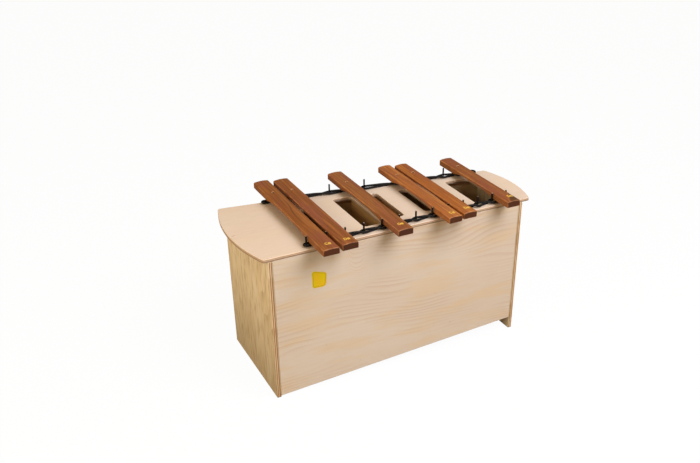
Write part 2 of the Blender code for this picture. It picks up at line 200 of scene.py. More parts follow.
def bulge(start: Array, end: Array, height: float, steps: int = 32) -> Array:
    """Points between two ends on the arc that rises by a height to the right of the line that joins them.

    Args:
        start: First end.
        end: Last end.
        height: Rise at the middle.
        steps: Steps along the arc.

    Returns:
        The points between the ends.
    """
    chord = end - start
    length = float(np.linalg.norm(chord))
    radius = (length**2 / 4 + height**2) / (2 * height)
    along = chord / length
    out = np.array([along[1], -along[0]])
    angle = np.arcsin(length / 2 / radius) * np.linspace(-1, 1, steps + 1)[1:-1, None]
    middle = (start + end) / 2 - out * (radius - height)
    return middle + radius * (out * np.cos(angle) + along * np.sin(angle))


@dataclass
class Surface:
    """A closed skin, with the numbers that its material reads.

    Attributes:
        points: Places in metres.
        faces: Groups of faces with equal numbers of corners, anticlockwise from outside.
        layers: Vectors for each point by the name of their attribute.
    """

    points: Array
    faces: list[Index]
    layers: dict[str, Array] = field(default_factory=dict)

    def normals(self) -> Array:
        """Normals of the points: their faces' normals summed by area, so that flats stay flat.

        Returns:
            One unit vector for each point.
        """
        total = np.zeros_like(self.points)
        for faces in self.faces:
            corners = self.points[faces]
            spokes = corners[:, 1:] - corners[:, :1]
            area = np.cross(spokes[:, :-1], spokes[:, 1:]).sum(axis=1)
            np.add.at(total, faces, area[:, None, :])
        return unit(total)

    def placed(self, axes: tuple[Triple, Triple, Triple], origin: Triple) -> "Surface":
        """The surface with its own axes laid along these and its origin moved."""
        points = self.points @ np.array(axes, float) + np.array(origin, float)
        return Surface(points, self.faces, self.layers)

    def piece(self, name: str, material: Material) -> bpy.types.Object:
        """The surface as an object of the scene.

        Args:
            name: The piece's name.
            material: Its finish.

        Returns:
            The new object, at the origin.
        """
        mesh = bpy.data.meshes.new(name)
        polygons = [face for faces in self.faces for face in faces.tolist()]
        mesh.from_pydata(self.points.tolist(), [], polygons)
        mesh.polygons.foreach_set("use_smooth", np.ones(len(mesh.polygons), bool))
        for layer, values in self.layers.items():
            attribute = mesh.attributes.new(layer, "FLOAT_VECTOR", "POINT")
            attribute.data.foreach_set("vector", values.astype(np.float32).ravel())
        mesh.normals_split_custom_set_from_vertices(self.normals().tolist())
        mesh.materials.append(material)
        made = bpy.data.objects.new(name, mesh)
        bpy.context.scene.collection.objects.link(made)
        return made


def slab(loops: list[tuple[Array, float]], thickness: float, grain: Pair, steps: int = 4) -> Surface:
    """A flat board with rounded edges.

    Each outline is carried down a profile of two quarter circles: at angle a the edge lies r (1 - sin a)
    inside the outline and r (1 - cos a) from the nearer face. The layer "board" holds the place along the
    grain, across it, and through the thickness from 0 to 1.

    Args:
        loops: Outlines and edge radii: the outer one anticlockwise, then holes clockwise.
        thickness: Thickness from the plane of the outlines upwards.
        grain: Where the board was cut from its veneer.
        steps: Steps round each edge.

    Returns:
        The board's skin.
    """
    turn = np.linspace(0, np.pi / 2, steps + 1)
    rings: list[Array] = []
    faces: list[Index] = []
    tops: list[Index] = []
    bottoms: list[Index] = []
    start = 0
    for loop, radius in loops:
        inset, drop = radius * (1 - np.sin(turn)), radius * (1 - np.cos(turn))
        inset = np.concatenate([inset, inset[::-1]])[:, None, None]
        height = np.concatenate([thickness - drop, drop[::-1]])[:, None, None]
        ring = loop - inset * mitres(loop)
        ring = np.concatenate([ring, np.broadcast_to(height, (*ring.shape[:2], 1))], axis=-1)
        index = start + np.arange(ring.shape[0] * ring.shape[1]).reshape(ring.shape[:2])
        rings.append(ring.reshape(-1, 3))
        faces.append(quads_of(index).reshape(-1, 4))
        tops.append(index[0])
        bottoms.append(index[-1])
        start += index.size
    points = np.concatenate(rings)
    corners = np.array(tessellate_polygon([list(map(Vector, points[top].tolist())) for top in tops]))
    flat = points[np.concatenate(tops)][corners]
    facing_up = np.cross(flat[:, 1] - flat[:, 0], flat[:, 2] - flat[:, 0])[:, 2:] > 0
    corners = np.where(facing_up, corners, corners[:, ::-1])
    faces += [np.concatenate(tops)[corners], np.concatenate(bottoms)[corners][:, ::-1]]
    board = points * (1, 1, 1 / thickness) + (*grain, 0)
    return Surface(points, faces, {"board": board})


def turned(profile: Array, place: Triple, sides: int = 32, closed: bool = False) -> Surface:
    """A profile turned round an upright axis.

    Point (i, j) is (r_i cos a_j, r_i sin a_j, h_i) at even angles a_j. An end on the axis is one point.

    Args:
        profile: Radius and height, from top to bottom on the outer side.
        place: Where the axis stands, with the level that heights count from.
        sides: Steps round the axis.
        closed: Whether the profile goes back to its start, as for a tube.

    Returns:
        The turned skin.
    """
    angle = np.linspace(0, 2 * np.pi, sides, endpoint=False)
    rows = profile[profile[:, 0] > 0]
    radius, height = rows[:, :1], np.repeat(rows[:, 1:], sides, axis=1)
    points = np.stack([radius * np.cos(angle), radius * np.sin(angle), height], axis=-1).reshape(-1, 3)
    index = np.arange(len(points)).reshape(len(rows), sides)
    faces = [quads_of(index, close_rows=closed).reshape(-1, 4)]
    for end, ring in ((profile[0], index[0]), (profile[-1], index[-1][::-1])):
        if end[0] == 0:
            pole = np.full(sides, len(points))
            points = np.vstack([points, (0, 0, end[1])])
            faces.append(np.stack([pole, ring, np.roll(ring, -1)], axis=1))
    return Surface(points + np.array(place), faces)


def fit(piece: bpy.types.Object, body: str, slot: Slot, *nodes: str) -> None:
    """Makes a piece ride on a body, hides the nodes of the frame that it stands for, and reports it.

    Args:
        piece: The new piece.
        body: Name of the body.
        slot: The record's slot that the finish belongs to; not used.
        *nodes: Nodes of the frame that the piece stands for.
    """
    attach(piece, body)
    if nodes:
        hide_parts(*nodes)
    LOG.info("%s rides on %s, %d faces", piece.name, body, len(piece.data.polygons))


class NodeGraph:
    """Lays out a material's nodes round its Principled shader."""

    def __init__(self, name: str) -> None:
        """Starts a material.

        Args:
            name: Its name.
        """
        self.material = bpy.data.materials.new(name)
        self.material.use_nodes = True
        self.tree = self.material.node_tree
        self.shader = self.tree.nodes["Principled BSDF"]

    def node(self, kind: str, **settings: object) -> bpy.types.Node:
        """A new node with its settings.

        Args:
            kind: The node's type, without its prefix.
            **settings: Values of its properties.

        Returns:
            The node.
        """
        made = self.tree.nodes.new("ShaderNode" + kind)
        for key, value in settings.items():
            setattr(made, key, value)
        return made

    def feed(self, socket: Socket, value: object) -> None:
        """Links a socket to another, or sets its own number, vector or colour.

        Args:
            socket: The input.
            value: Another node's output, or a plain value.
        """
        if isinstance(value, bpy.types.NodeSocket):
            self.tree.links.new(value, socket)
        else:
            socket.default_value = value

    def set(self, **inputs: object) -> None:
        """Feeds the shader's inputs.

        Args:
            **inputs: Values by the inputs' names, in small letters and with _ for each space.
        """
        for name, value in inputs.items():
            self.feed(self.shader.inputs[name.replace("_", " ").title().replace("Ior", "IOR")], value)

    def layer(self, name: str) -> Socket:
        """A vector that the piece's mesh holds."""
        return self.node("Attribute", attribute_name=name).outputs["Vector"]

    def place(self) -> Socket:
        """Object coordinates."""
        return self.node("TexCoord").outputs["Object"]

    def mapped(self, vector: Socket, scale: Triple, move: Triple = (0, 0, 0), turn: float = 0.0) -> Socket:
        """A vector scaled, turned and then moved.

        Args:
            vector: What to map.
            scale: Factor along each axis.
            move: Distance along each axis.
            turn: Angle about the third axis.

        Returns:
            The mapped vector.
        """
        mapping = self.node("Mapping")
        self.feed(mapping.inputs["Vector"], vector)
        self.feed(mapping.inputs["Scale"], scale)
        self.feed(mapping.inputs["Location"], move)
        self.feed(mapping.inputs["Rotation"], (0, 0, turn))
        return mapping.outputs["Vector"]

    def split(self, vector: Socket) -> tuple[Socket, Socket, Socket]:
        """A vector's three parts.

        Args:
            vector: What to split.

        Returns:
            The parts along the axes.
        """
        parts = self.node("SeparateXYZ")
        self.feed(parts.inputs[0], vector)
        return parts.outputs[0], parts.outputs[1], parts.outputs[2]

    def dot(self, vector: Socket, direction: object) -> Socket:
        """How far a vector reaches along a direction.

        Args:
            vector: What to measure.
            direction: The direction, as numbers or another node's output.

        Returns:
            The product of the two.
        """
        made = self.node("VectorMath", operation="DOT_PRODUCT")
        self.feed(made.inputs[0], vector)
        self.feed(made.inputs[1], direction)
        return made.outputs["Value"]

    def noise(self, vector: Socket, scale: Triple, detail: float = 3.0, move: Triple = (0, 0, 0)) -> Socket:
        """Cloudy noise from 0 to 1 on a scaled vector.

        Args:
            vector: Where the noise is read.
            scale: Clouds for each metre along each axis.
            detail: Octaves of finer noise.
            move: Offset into the noise.

        Returns:
            The noise.
        """
        clouds = self.node("TexNoise")
        self.feed(clouds.inputs["Vector"], self.mapped(vector, scale, move))
        self.feed(clouds.inputs["Scale"], 1.0)
        self.feed(clouds.inputs["Detail"], detail)
        return clouds.outputs[0]

    def math(self, operation: str, *values: object) -> Socket:
        """A sum on numbers.

        Args:
            operation: The node's operation.
            *values: Its numbers.

        Returns:
            The result.
        """
        made = self.node("Math", operation=operation)
        for socket, value in zip(made.inputs, values):
            self.feed(socket, value)
        return made.outputs[0]

    def fade(self, value: Socket, start: object, end: object, low: float = 0.0, high: float = 1.0) -> Socket:
        """A smooth step from low to high as a value goes from start to end.

        Args:
            value: The number that is read.
            start: Where the step begins.
            end: Where it is done.
            low: Result before the step.
            high: Result after it.

        Returns:
            The step's height.
        """
        made = self.node("MapRange", interpolation_type="SMOOTHSTEP")
        inputs = {"Value": value, "From Min": start, "From Max": end, "To Min": low, "To Max": high}
        for name, number in inputs.items():
            self.feed(made.inputs[name], number)
        return made.outputs[0]

    def spread(self, noise: Socket, low: float = 0.0, high: float = 1.0) -> Socket:
        """Noise spread from low to high over its usual range."""
        return self.fade(noise, *NOISE_RANGE, low, high)

    def mix(self, share: object, first: object, second: object, blend: str = "MIX") -> Socket:
        """Two colours mixed.

        Args:
            share: Share of the second.
            first: First colour.
            second: Second colour.
            blend: How they mix.

        Returns:
            The colour.
        """
        made = self.node("Mix", data_type="RGBA", blend_type=blend)
        for number, value in ((MIX_SHARE, share), (MIX_FIRST, first), (MIX_SECOND, second)):
            self.feed(made.inputs[number], value)
        return made.outputs[MIX_RESULT]

    def grey(self, value: Socket) -> Socket:
        """A number as a grey colour.

        Args:
            value: The number.

        Returns:
            The colour.
        """
        made = self.node("CombineColor")
        for socket in made.inputs:
            self.feed(socket, value)
        return made.outputs[0]

    def bump(self, height: Socket, distance: float, strength: float = 1.0) -> None:
        """Raises the surface by a height in units of a distance.

        Args:
            height: Height from 0 to 1.
            distance: What 1 stands for, in metres.
            strength: Share of the effect.
        """
        made = self.node("Bump")
        self.feed(made.inputs["Strength"], strength)
        self.feed(made.inputs["Distance"], distance)
        self.feed(made.inputs["Height"], height)
        self.feed(self.shader.inputs["Normal"], made.outputs[0])


@dataclass(frozen=True)
class Crack:
    """A short split in a veneer.

    Attributes:
        start: Where it begins, at its widest.
        end: Where it runs out.
        width: Half its width.
        tint: Colour of the wood in it.
    """

    start: Pair
    end: Pair
    width: float = 0.0009
    tint: Colour = seen(70, 44, 26)

    def mask(self, graph: NodeGraph, board: Socket) -> Socket:
        """1 in the split and 0 away from it.

        Args:
            graph: The material's nodes.
            board: Place on the board.

        Returns:
            The mask.
        """
        run = np.array(self.end) - np.array(self.start)
        length = float(np.linalg.norm(run))
        x, y = (run / length).tolist()
        local = graph.mapped(board, (1, 1, 0), (-self.start[0], -self.start[1], 0))
        along = graph.dot(local, (x, y, 0))
        off = graph.math("ABSOLUTE", graph.dot(local, (-y, x, 0)))
        width = graph.fade(along, 0.3 * length, length, self.width, 0.2 * self.width)
        near = graph.fade(graph.math("DIVIDE", off, width), 0.4, 1.0, 1.0, 0.0)
        begun = graph.math("GREATER_THAN", along, 0.0)
        span = graph.math("MULTIPLY", begun, graph.math("LESS_THAN", along, length))
        return graph.math("MULTIPLY", near, span)


@dataclass(frozen=True)
class Arches:
    """Nested growth rings round one spot of a veneer.

    Attributes:
        middle: The spot.
        reach: How far they go along and across the grain.
        rings: How many there are.
        share: How strongly they show at most.
        wander: How far their rim wanders, as a share of the reach squared.
        wander_grain: Noise for each metre along and across the grain.
    """

    middle: Pair
    reach: Pair
    rings: float
    share: float = 0.75
    wander: float = 0.5
    wander_grain: Pair = (16.0, 6.0)

    def lift(self, graph: NodeGraph, flat: Socket) -> Socket:
        """Rings to add at each place, as a smooth hill over an ellipse whose rim wanders with noise.

        Args:
            graph: The material's nodes.
            flat: Place on the board's face.

        Returns:
            The number of rings.
        """
        (x, y), (wide, high) = self.middle, self.reach
        local = graph.mapped(flat, (1 / wide, 1 / high, 0), (-x / wide, -y / high, 0))
        noise = graph.noise(flat, (*self.wander_grain, 0), 2.0, (4, 2, 0))
        away = graph.math("MULTIPLY_ADD", noise, self.wander, graph.dot(local, local))
        return graph.fade(away, self.wander / 2, 1 + self.wander / 2, self.rings, 0.0)


@dataclass(frozen=True)
class PlywoodFinish:
    """Veneered plywood, with growth rings and warm patches on its faces and plies on its edges.

    Attributes:
        name: Name of the material.
        face: Main colour of the veneer.
        blush: Colour of its broad clouds.
        warm: Colour of its patches.
        line: Colour of the ring lines and streaks.
        cross_ply: Colour of the plies whose end grain shows.
        rings: Ring lines for each metre across the grain.
        warp: How many lines the figure wanders by.
        line_share: How strongly the lines show.
        tilt: Angle by which the grain falls along the board.
        patch_grain: Patches for each metre along and across the grain.
        patch_share: How strongly the patches show.
        streak_grain: Streaks for each metre along and across the grain.
        streak_share: How strongly the streaks show.
        fibre_share: How strongly the fibres show.
        scuff_share: How strongly small scuffs show.
        cross_span: Where the cross plies lie, as distances from the middle in thicknesses.
        edge_shade: What is left of the colour on the far side of the board's edges and on its far face, as
            painted shade.
        foot: Places along the grain between which painted shade darkens the board's face towards its foot and
            fades out.
        foot_shade: What is left of the colour at the foot.
        crack: A split in the veneer.
        arches: A spot with nested rings.
    """

    name: str
    face: Colour
    blush: Colour
    warm: Colour
    line: Colour
    cross_ply: Colour
    rings: float = 70.0
    warp: float = 13.0
    line_share: float = 0.35
    tilt: float = 0.0
    patch_grain: Pair = (2.6, 13.0)
    patch_share: float = 0.7
    streak_grain: Pair = (6.0, 130.0)
    streak_share: float = 0.15
    fibre_share: float = 0.2
    scuff_share: float = 0.15
    cross_span: Pair = (0.09, 0.32)
    edge_shade: float = 0.8
    foot: Pair | None = None
    foot_shade: float = 0.7
    crack: Crack | None = None
    arches: Arches | None = None

    def figure(self, graph: NodeGraph, flat: Socket) -> Socket:
        """Colour of the veneer.

        Each ring darkens along its width and ends in a sharp line: its tone is the fraction of (place across
        the grain + slow noise). Clouds, patches and streaks are noise stretched along the grain.

        Args:
            graph: The material's nodes.
            flat: Place on the board's face.

        Returns:
            The colour.
        """
        across = graph.split(flat)[1]
        drift = graph.noise(flat, (1.1, 3.4, 0), 2.0)
        wave = graph.math("MULTIPLY_ADD", drift, self.warp, graph.math("MULTIPLY", across, self.rings))
        faint = graph.fade(graph.noise(flat, (2.4, 7.0, 0), 2.0, (7, 3, 0)), 0.40, 0.62)
        if self.arches:
            hill = self.arches.lift(graph, flat)
            wave = graph.math("ADD", wave, hill)
            shown = graph.fade(hill, 0.3, self.arches.rings, 0.0, self.arches.share)
            faint = graph.math("MAXIMUM", faint, shown)
        late = graph.fade(graph.math("FRACT", wave), 0.35, 1.0)
        line = graph.math("MULTIPLY", late, faint)
        blush = graph.fade(graph.noise(flat, (1.3, 3.0, 0), 2.0, (5, 1, 0)), 0.36, 0.64)
        patch = graph.fade(graph.noise(flat, (*self.patch_grain, 0), 3.0, (2, 9, 0)), 0.47, 0.64)
        streak = graph.fade(graph.noise(flat, (*self.streak_grain, 0), 4.0, (1, 8, 0)), 0.46, 0.70)
        scuff = graph.fade(graph.noise(flat, (70, 30, 0), 5.0, (3, 3, 0)), 0.66, 0.76)
        colour = graph.mix(blush, self.face, self.blush)
        for share, strength, tone in (
            (patch, self.patch_share, self.warm),
            (line, self.line_share, self.line),
            (streak, self.streak_share, self.line),
            (scuff, self.scuff_share, self.cross_ply),
        ):
            colour = graph.mix(graph.math("MULTIPLY", share, strength), colour, tone)
        return colour

    def material(self) -> Material:
        """The finish as a material: the veneer's figure and fibres, and on edges the ply at that depth.

        Returns:
            The material.
        """
        graph = NodeGraph(self.name)
        board = graph.layer("board")
        flat = graph.mapped(board, (1, 1, 0), turn=self.tilt)
        fibre = graph.noise(flat, (16, 520, 0), 4.0)
        colour = self.figure(graph, flat)
        fibres = graph.grey(graph.spread(fibre, 0.55, 1.0))
        colour = graph.mix(self.fibre_share, colour, fibres, "MULTIPLY")
        along, _, depth = graph.split(board)
        from_middle = graph.math("ABSOLUTE", graph.math("SUBTRACT", depth, 0.5))
        inner, outer = self.cross_span
        cross = graph.math(
            "MULTIPLY",
            graph.fade(from_middle, inner - 0.01, inner + 0.02),
            graph.fade(from_middle, outer - 0.02, outer + 0.01, 1.0, 0.0),
        )
        pores = graph.noise(board, (900, 900, 40), 2.0)
        cut = graph.mix(graph.fade(pores, 0.35, 0.65, 0.0, 0.5), self.cross_ply, self.line)
        colour = graph.mix(cross, colour, cut)
        # Painted shade: the colour darkens through the thickness to the far face, so edges darken on their
        # far side.
        shade = graph.fade(depth, 0.0, 0.9, self.edge_shade, 1.0)
        # Painted shade: the show face darkens towards the board's foot, where less light reaches it.
        if self.foot:
            low_down = graph.fade(along, *self.foot, 1.0, 0.0)
            foot_shading = graph.math("MULTIPLY", low_down, graph.fade(depth, 0.8, 1.0))
            foot_shading = graph.math("MULTIPLY_ADD", foot_shading, self.foot_shade - 1.0, 1.0)
            shade = graph.math("MULTIPLY", shade, foot_shading)
        colour = graph.mix(1.0, colour, graph.grey(shade), "MULTIPLY")
        if self.crack:
            colour = graph.mix(self.crack.mask(graph, board), colour, self.crack.tint)
        graph.set(base_color=colour, roughness=graph.spread(fibre, 0.46, 0.62), specular_ior_level=0.35)
        graph.bump(graph.math("ADD", fibre, graph.math("MULTIPLY", pores, cross)), 0.0001, 0.5)
        return graph.material


class Veneer(Enum):
    """The veneers of the box's boards."""

    PLATE = PlywoodFinish(
        "birch_plate_veneer",
        face=seen(234, 213, 191),
        blush=seen(232, 209, 187),
        warm=seen(234, 209, 180),
        line=seen(224, 190, 158),
        cross_ply=seen(190, 138, 86),
        line_share=0.10,
        streak_share=0.10,
        patch_share=0.4,
        edge_shade=0.52,
        crack=Crack((2.585, 0.397), (2.600, 0.401)),
    )
    FRONT = PlywoodFinish(
        "front_veneer",
        face=seen(226, 210, 191),
        blush=seen(222, 203, 182),
        warm=seen(228, 197, 151),
        line=seen(198, 154, 112),
        cross_ply=seen(178, 122, 72),
        rings=60.0,
        warp=17.0,
        tilt=math.radians(2),
        line_share=0.30,
        patch_grain=(4.0, 20.0),
        patch_share=0.42,
        streak_share=0.05,
        fibre_share=0.1,
        arches=Arches((-0.182, 0.465), (0.062, 0.165), 7.0),
    )
    END = PlywoodFinish(
        "end_veneer",
        face=seen(250, 229, 191),
        blush=seen(238, 213, 173),
        warm=seen(251, 232, 198),
        line=seen(186, 150, 100),
        cross_ply=seen(172, 108, 52),
        rings=40.0,
        streak_grain=(13.0, 84.0),
        streak_share=0.55,
        edge_shade=0.72,
        foot=(2.28, 2.76),
    )
    BACK = PlywoodFinish(
        "back_veneer",
        face=seen(234, 202, 154),
        blush=seen(226, 190, 142),
        warm=seen(236, 196, 140),
        line=seen(202, 160, 114),
        cross_ply=seen(178, 122, 72),
        rings=44.0,
        line_share=0.3,
        patch_share=0.4,
        streak_share=0.1,
    )
    INSIDE = PlywoodFinish(
        "inside_veneer",
        face=seen(232, 186, 124),
        blush=seen(222, 174, 110),
        warm=seen(236, 190, 126),
        line=seen(176, 126, 78),
        cross_ply=seen(164, 112, 64),
        streak_share=0.4,
    )


@dataclass(frozen=True)
class HardwoodFinish:
    """Plain close-grained wood for the rails under the plate.

    Attributes:
        name: Name of the material.
        pale: Main colour.
        deep: Colour of the darker streaks.
        fleck: Colour of the short flecks.
    """

    name: str = "beech_rail_wood"
    pale: Colour = seen(206, 166, 122)
    deep: Colour = seen(176, 128, 86)
    fleck: Colour = seen(140, 92, 58)

    def material(self) -> Material:
        """The finish as a material: noise stretched along the grain, with short dark flecks.

        Returns:
            The material.
        """
        graph = NodeGraph(self.name)
        board = graph.layer("board")
        tone = graph.noise(board, (4, 120, 2), 3.0)
        fleck = graph.fade(graph.noise(board, (140, 1600, 20), 2.0), 0.60, 0.70)
        colour = graph.mix(graph.spread(tone), self.pale, self.deep)
        colour = graph.mix(graph.math("MULTIPLY", fleck, 0.6), colour, self.fleck)
        graph.set(base_color=colour, roughness=graph.spread(tone, 0.50, 0.64))
        graph.bump(tone, 0.0001, 0.5)
        return graph.material


@dataclass(frozen=True)
class Figure:
    """A dark stroke in a bar's grain, whose middle swings from one side of the bar to the other.

    Attributes:
        start: Place along the bar, from its middle, where the stroke leaves its first side.
        end: Place where it reaches its second side.
        side: Its distance from the bar's axis before the start.
        far_side: Its distance from the axis past the end.
        width: Half the stroke's width.
        share: How dark it is.
        tint: Its colour.
        fills: Whether all of the wood on the treble side of it is dark.
        wander: How far its middle wanders with noise.
    """

    start: float
    end: float
    side: float
    far_side: float
    width: float
    share: float
    tint: Colour
    fills: bool = False
    wander: float = 0.006


@dataclass(frozen=True)
class RosewoodFinish:
    """Satin rosewood of one bar.

    Attributes:
        name: Name of the material.
        middle: The bar's middle, where its figure is counted from.
        seed: Offset into the noise, so that no two bars are alike.
        base: Main colour.
        light: Colour of the pale streaks.
        dark: Colour of the dark lines.
        blush: Colour of the broad clouds.
        end: Colour of the end grain.
        raw_and_highlight: Colour of the bare wood in the pin's bore, paler still as painted highlight on its
            lit rim.
        rubbed_and_highlight: Colour of the rounded edges, worn and also painted lighter as painted highlight.
        rings: Dark lines for each metre across the bar.
        line_share: How strongly the lines show.
        figure: The bar's own dark stroke.
    """

    name: str
    middle: Triple
    seed: float
    base: Colour
    light: Colour
    dark: Colour
    blush: Colour = seen(150, 84, 60)
    end: Colour = seen(72, 39, 20)
    raw_and_highlight: Colour = seen(224, 172, 128)
    rubbed_and_highlight: Colour = seen(214, 148, 92)
    rings: float = 95.0
    line_share: float = 0.44
    figure: Figure | None = None

    def stroke(self, graph: NodeGraph, local: Socket) -> tuple[Socket, Socket]:
        """How dark the bar's own stroke is at each place, and how bright the border beside it.

        The stroke's middle follows a smooth step along the bar, and its darkness falls off to either side.

        Args:
            graph: The material's nodes.
            local: Place counted from the bar's middle.

        Returns:
            Darkness and border from 0 to 1.
        """
        across, along, _ = graph.split(local)
        shape = self.figure
        middle = graph.fade(along, shape.start, shape.end, shape.side, shape.far_side)
        noise = graph.noise(local, (30, 22, 30))
        wander = graph.math("MULTIPLY_ADD", noise, shape.wander, -shape.wander / 2)
        off = graph.math("SUBTRACT", across, graph.math("ADD", middle, wander))
        border = graph.math("ABSOLUTE", graph.math("ADD", off, 1.6 * shape.width))
        border = graph.fade(border, 0.2 * shape.width, shape.width, 0.8, 0.0)
        if shape.fills:
            return graph.fade(off, -0.5 * shape.width, 0.5 * shape.width, 0.0, shape.share), border
        near = graph.fade(graph.math("ABSOLUTE", off), 0.0, shape.width, shape.share, 0.0)
        reach = (shape.end - shape.start) * 0.35
        rise = graph.fade(along, shape.start - reach, shape.start + reach)
        fall = graph.fade(along, shape.end - reach, shape.end + reach, 1.0, 0.0)
        span = graph.math("MULTIPLY", rise, fall)
        stroke = graph.math("MULTIPLY", near, span)
        return stroke, graph.math("MULTIPLY", border, graph.math("MULTIPLY", span, 0.4))

    def grain(self, graph: NodeGraph, local: Socket) -> Socket:
        """Colour of the wood along the bar.

        Streaks and lines run along the bar as stretched noise and as the sine of (place across + slow noise).

        Args:
            graph: The material's nodes.
            local: Place counted from the bar's middle.

        Returns:
            The colour.
        """
        across, _, up = graph.split(local)
        seed = (self.seed, self.seed * 0.7, self.seed * 1.3)
        swap = (seed[1], seed[2], seed[0])
        streak = graph.fade(graph.noise(local, (46, 2.4, 46), 3.0, seed), 0.42, 0.62)
        cloud = graph.fade(graph.noise(local, (30, 5.0, 30), 2.0, swap), 0.46, 0.66, 0.0, 0.7)
        drift = graph.noise(local, (18, 2.2, 18), 2.0, swap)
        flow = graph.math("MULTIPLY_ADD", drift, 5.0, graph.math("MULTIPLY", across, self.rings))
        flow = graph.math("MULTIPLY_ADD", up, self.rings * 0.5, flow)
        line = graph.fade(graph.math("SINE", graph.math("MULTIPLY", flow, 2 * math.pi)), 0.3, 1.0)
        faint = graph.fade(graph.noise(local, (60, 5, 60), 2.0, seed), 0.32, 0.62)
        line = graph.math("MULTIPLY", graph.math("MULTIPLY", line, faint), self.line_share)
        colour = graph.mix(streak, self.base, self.light)
        colour = graph.mix(cloud, colour, self.blush)
        colour = graph.mix(line, colour, self.dark)
        if self.figure:
            stroke, border = self.stroke(graph, local)
            colour = graph.mix(border, colour, self.light)
            colour = graph.mix(stroke, colour, self.figure.tint)
        return colour

    def material(self) -> Material:
        """The finish as a material.

        Fibres and pores are fine noise along the bar. Faces that look along the bar show end grain, and the
        bore shows bare wood, paler still as painted highlight. Rounded edges are painted lighter, as wear and
        as painted highlight.

        Returns:
            The material.
        """
        graph = NodeGraph(self.name)
        x, y, z = self.middle
        local = graph.mapped(graph.place(), (1, 1, 1), (-x, -y, -z))
        fibre = graph.noise(local, (620, 14, 620), 4.0)
        pore = graph.fade(graph.noise(local, (1500, 60, 1500), 2.0), 0.62, 0.72)
        colour = self.grain(graph, local)
        colour = graph.mix(0.5, colour, graph.grey(graph.fade(fibre, 0.28, 0.72, 0.5, 1.0)), "MULTIPLY")
        colour = graph.mix(graph.math("MULTIPLY", pore, 0.55), colour, self.dark)
        facing = graph.math("ABSOLUTE", graph.split(graph.node("NewGeometry").outputs["Normal"])[1])
        dots = graph.noise(local, (900, 60, 900), 3.0)
        end = graph.mix(graph.fade(dots, 0.35, 0.7), self.end, self.dark)
        colour = graph.mix(graph.fade(facing, 0.55, 0.9), colour, end)
        # Painted highlight: rounded edges and the bore are painted paler, partly for real wear and bare wood,
        # partly for light catching them.
        bare, edge, _ = graph.split(graph.layer("wear_and_highlight"))
        rub_and_highlight = graph.fade(graph.noise(local, (40, 26, 40), 3.0, (self.seed, 4, 6)), 0.36, 0.62, 0.1, 0.55)
        colour = graph.mix(graph.math("MULTIPLY", edge, rub_and_highlight), colour, self.rubbed_and_highlight)
        colour = graph.mix(bare, colour, self.raw_and_highlight)
        graph.set(base_color=colour, roughness=graph.spread(fibre, 0.36, 0.52), specular_ior_level=0.25)
        graph.bump(graph.math("SUBTRACT", fibre, pore), 0.00012, 0.45)
        return graph.material


@dataclass(frozen=True)
class RubberFinish:
    """Black rubber with a little dust.

    Attributes:
        name: Name of the material.
        black: Main colour.
        dust: Colour of the dusty patches.
    """

    name: str = "sleeve_black_rubber"
    black: Colour = seen(15, 13, 12)
    dust: Colour = seen(36, 33, 30)

    def material(self) -> Material:
        """The finish as a material: soft noise between black and dust, and fine moulding bumps.

        Returns:
            The material.
        """
        graph = NodeGraph(self.name)
        place = graph.place()
        cloud = graph.noise(place, (260, 260, 90), 4.0)
        skin = graph.noise(place, (1800, 1800, 1800), 2.0)
        graph.set(base_color=graph.mix(graph.fade(cloud, 0.5, 0.8, 0.0, 0.7), self.black, self.dust))
        graph.set(roughness=graph.spread(cloud, 0.55, 0.8), specular_ior_level=0.2)
        graph.bump(skin, 0.00005, 0.6)
        return graph.material


@dataclass(frozen=True)
class SteelFinish:
    """Drawn steel with fine scratches.

    Attributes:
        name: Name of the material.
        bright: Colour of clean metal.
        dull: Colour of the duller patches.
        smooth: Least roughness.
    """

    name: str
    bright: Colour
    dull: Colour
    smooth: float = 0.24

    def material(self) -> Material:
        """The finish as a material: cloudy dull patches, and scratches as noise stretched upwards.

        Returns:
            The material.
        """
        graph = NodeGraph(self.name)
        place = graph.place()
        cloud = graph.noise(place, (700, 700, 500), 3.0)
        scratch = graph.noise(place, (3000, 3000, 240), 3.0)
        graph.set(base_color=graph.mix(graph.fade(cloud, 0.4, 0.7), self.bright, self.dull), metallic=1.0)
        graph.set(roughness=graph.spread(scratch, self.smooth, self.smooth + 0.18))
        graph.bump(scratch, 0.00003, 0.5)
        return graph.material


class Steel(Enum):
    """The steels of the nails and the hooks."""

    NAIL = SteelFinish("nail_bright_steel", seen(214, 208, 200), seen(176, 168, 160))
    HOOK = SteelFinish("hook_black_steel", seen(44, 42, 40), seen(30, 28, 27), 0.34)


@dataclass(frozen=True)
class CordFinish:
    """Black braided cord, greyer where the strands stand proud.

    Attributes:
        name: Name of the material.
        hollow: Colour between the strands, darkened there as painted shade.
        crest: Colour of the strands' crests.
        fluff: Colour of loose fibres.
    """

    name: str = "cord_black_braid"
    hollow: Colour = seen(8, 7, 7)
    crest: Colour = seen(27, 24, 23)
    fluff: Colour = seen(52, 47, 43)

    def material(self) -> Material:
        """The finish as a material, by the layer "weave": metres along, turns round and the braid's height.

        Returns:
            The material.
        """
        graph = NodeGraph(self.name)
        weave = graph.layer("weave")
        crest = graph.split(weave)[2]
        yarn = graph.noise(weave, (2600, 60, 4), 3.0)
        fluff = graph.fade(graph.noise(graph.place(), (900, 900, 900), 4.0), 0.62, 0.75)
        # Painted shade: the colour darkens from the strands' crests into the hollows between them.
        colour = graph.mix(graph.fade(crest, 0.3, 1.0), self.hollow, self.crest)
        colour = graph.mix(graph.math("MULTIPLY", fluff, 0.4), colour, self.fluff)
        graph.set(base_color=colour, roughness=graph.spread(yarn, 0.7, 0.92), specular_ior_level=0.3)
        graph.bump(graph.math("ADD", yarn, crest), 0.00015, 0.6)
        return graph.material


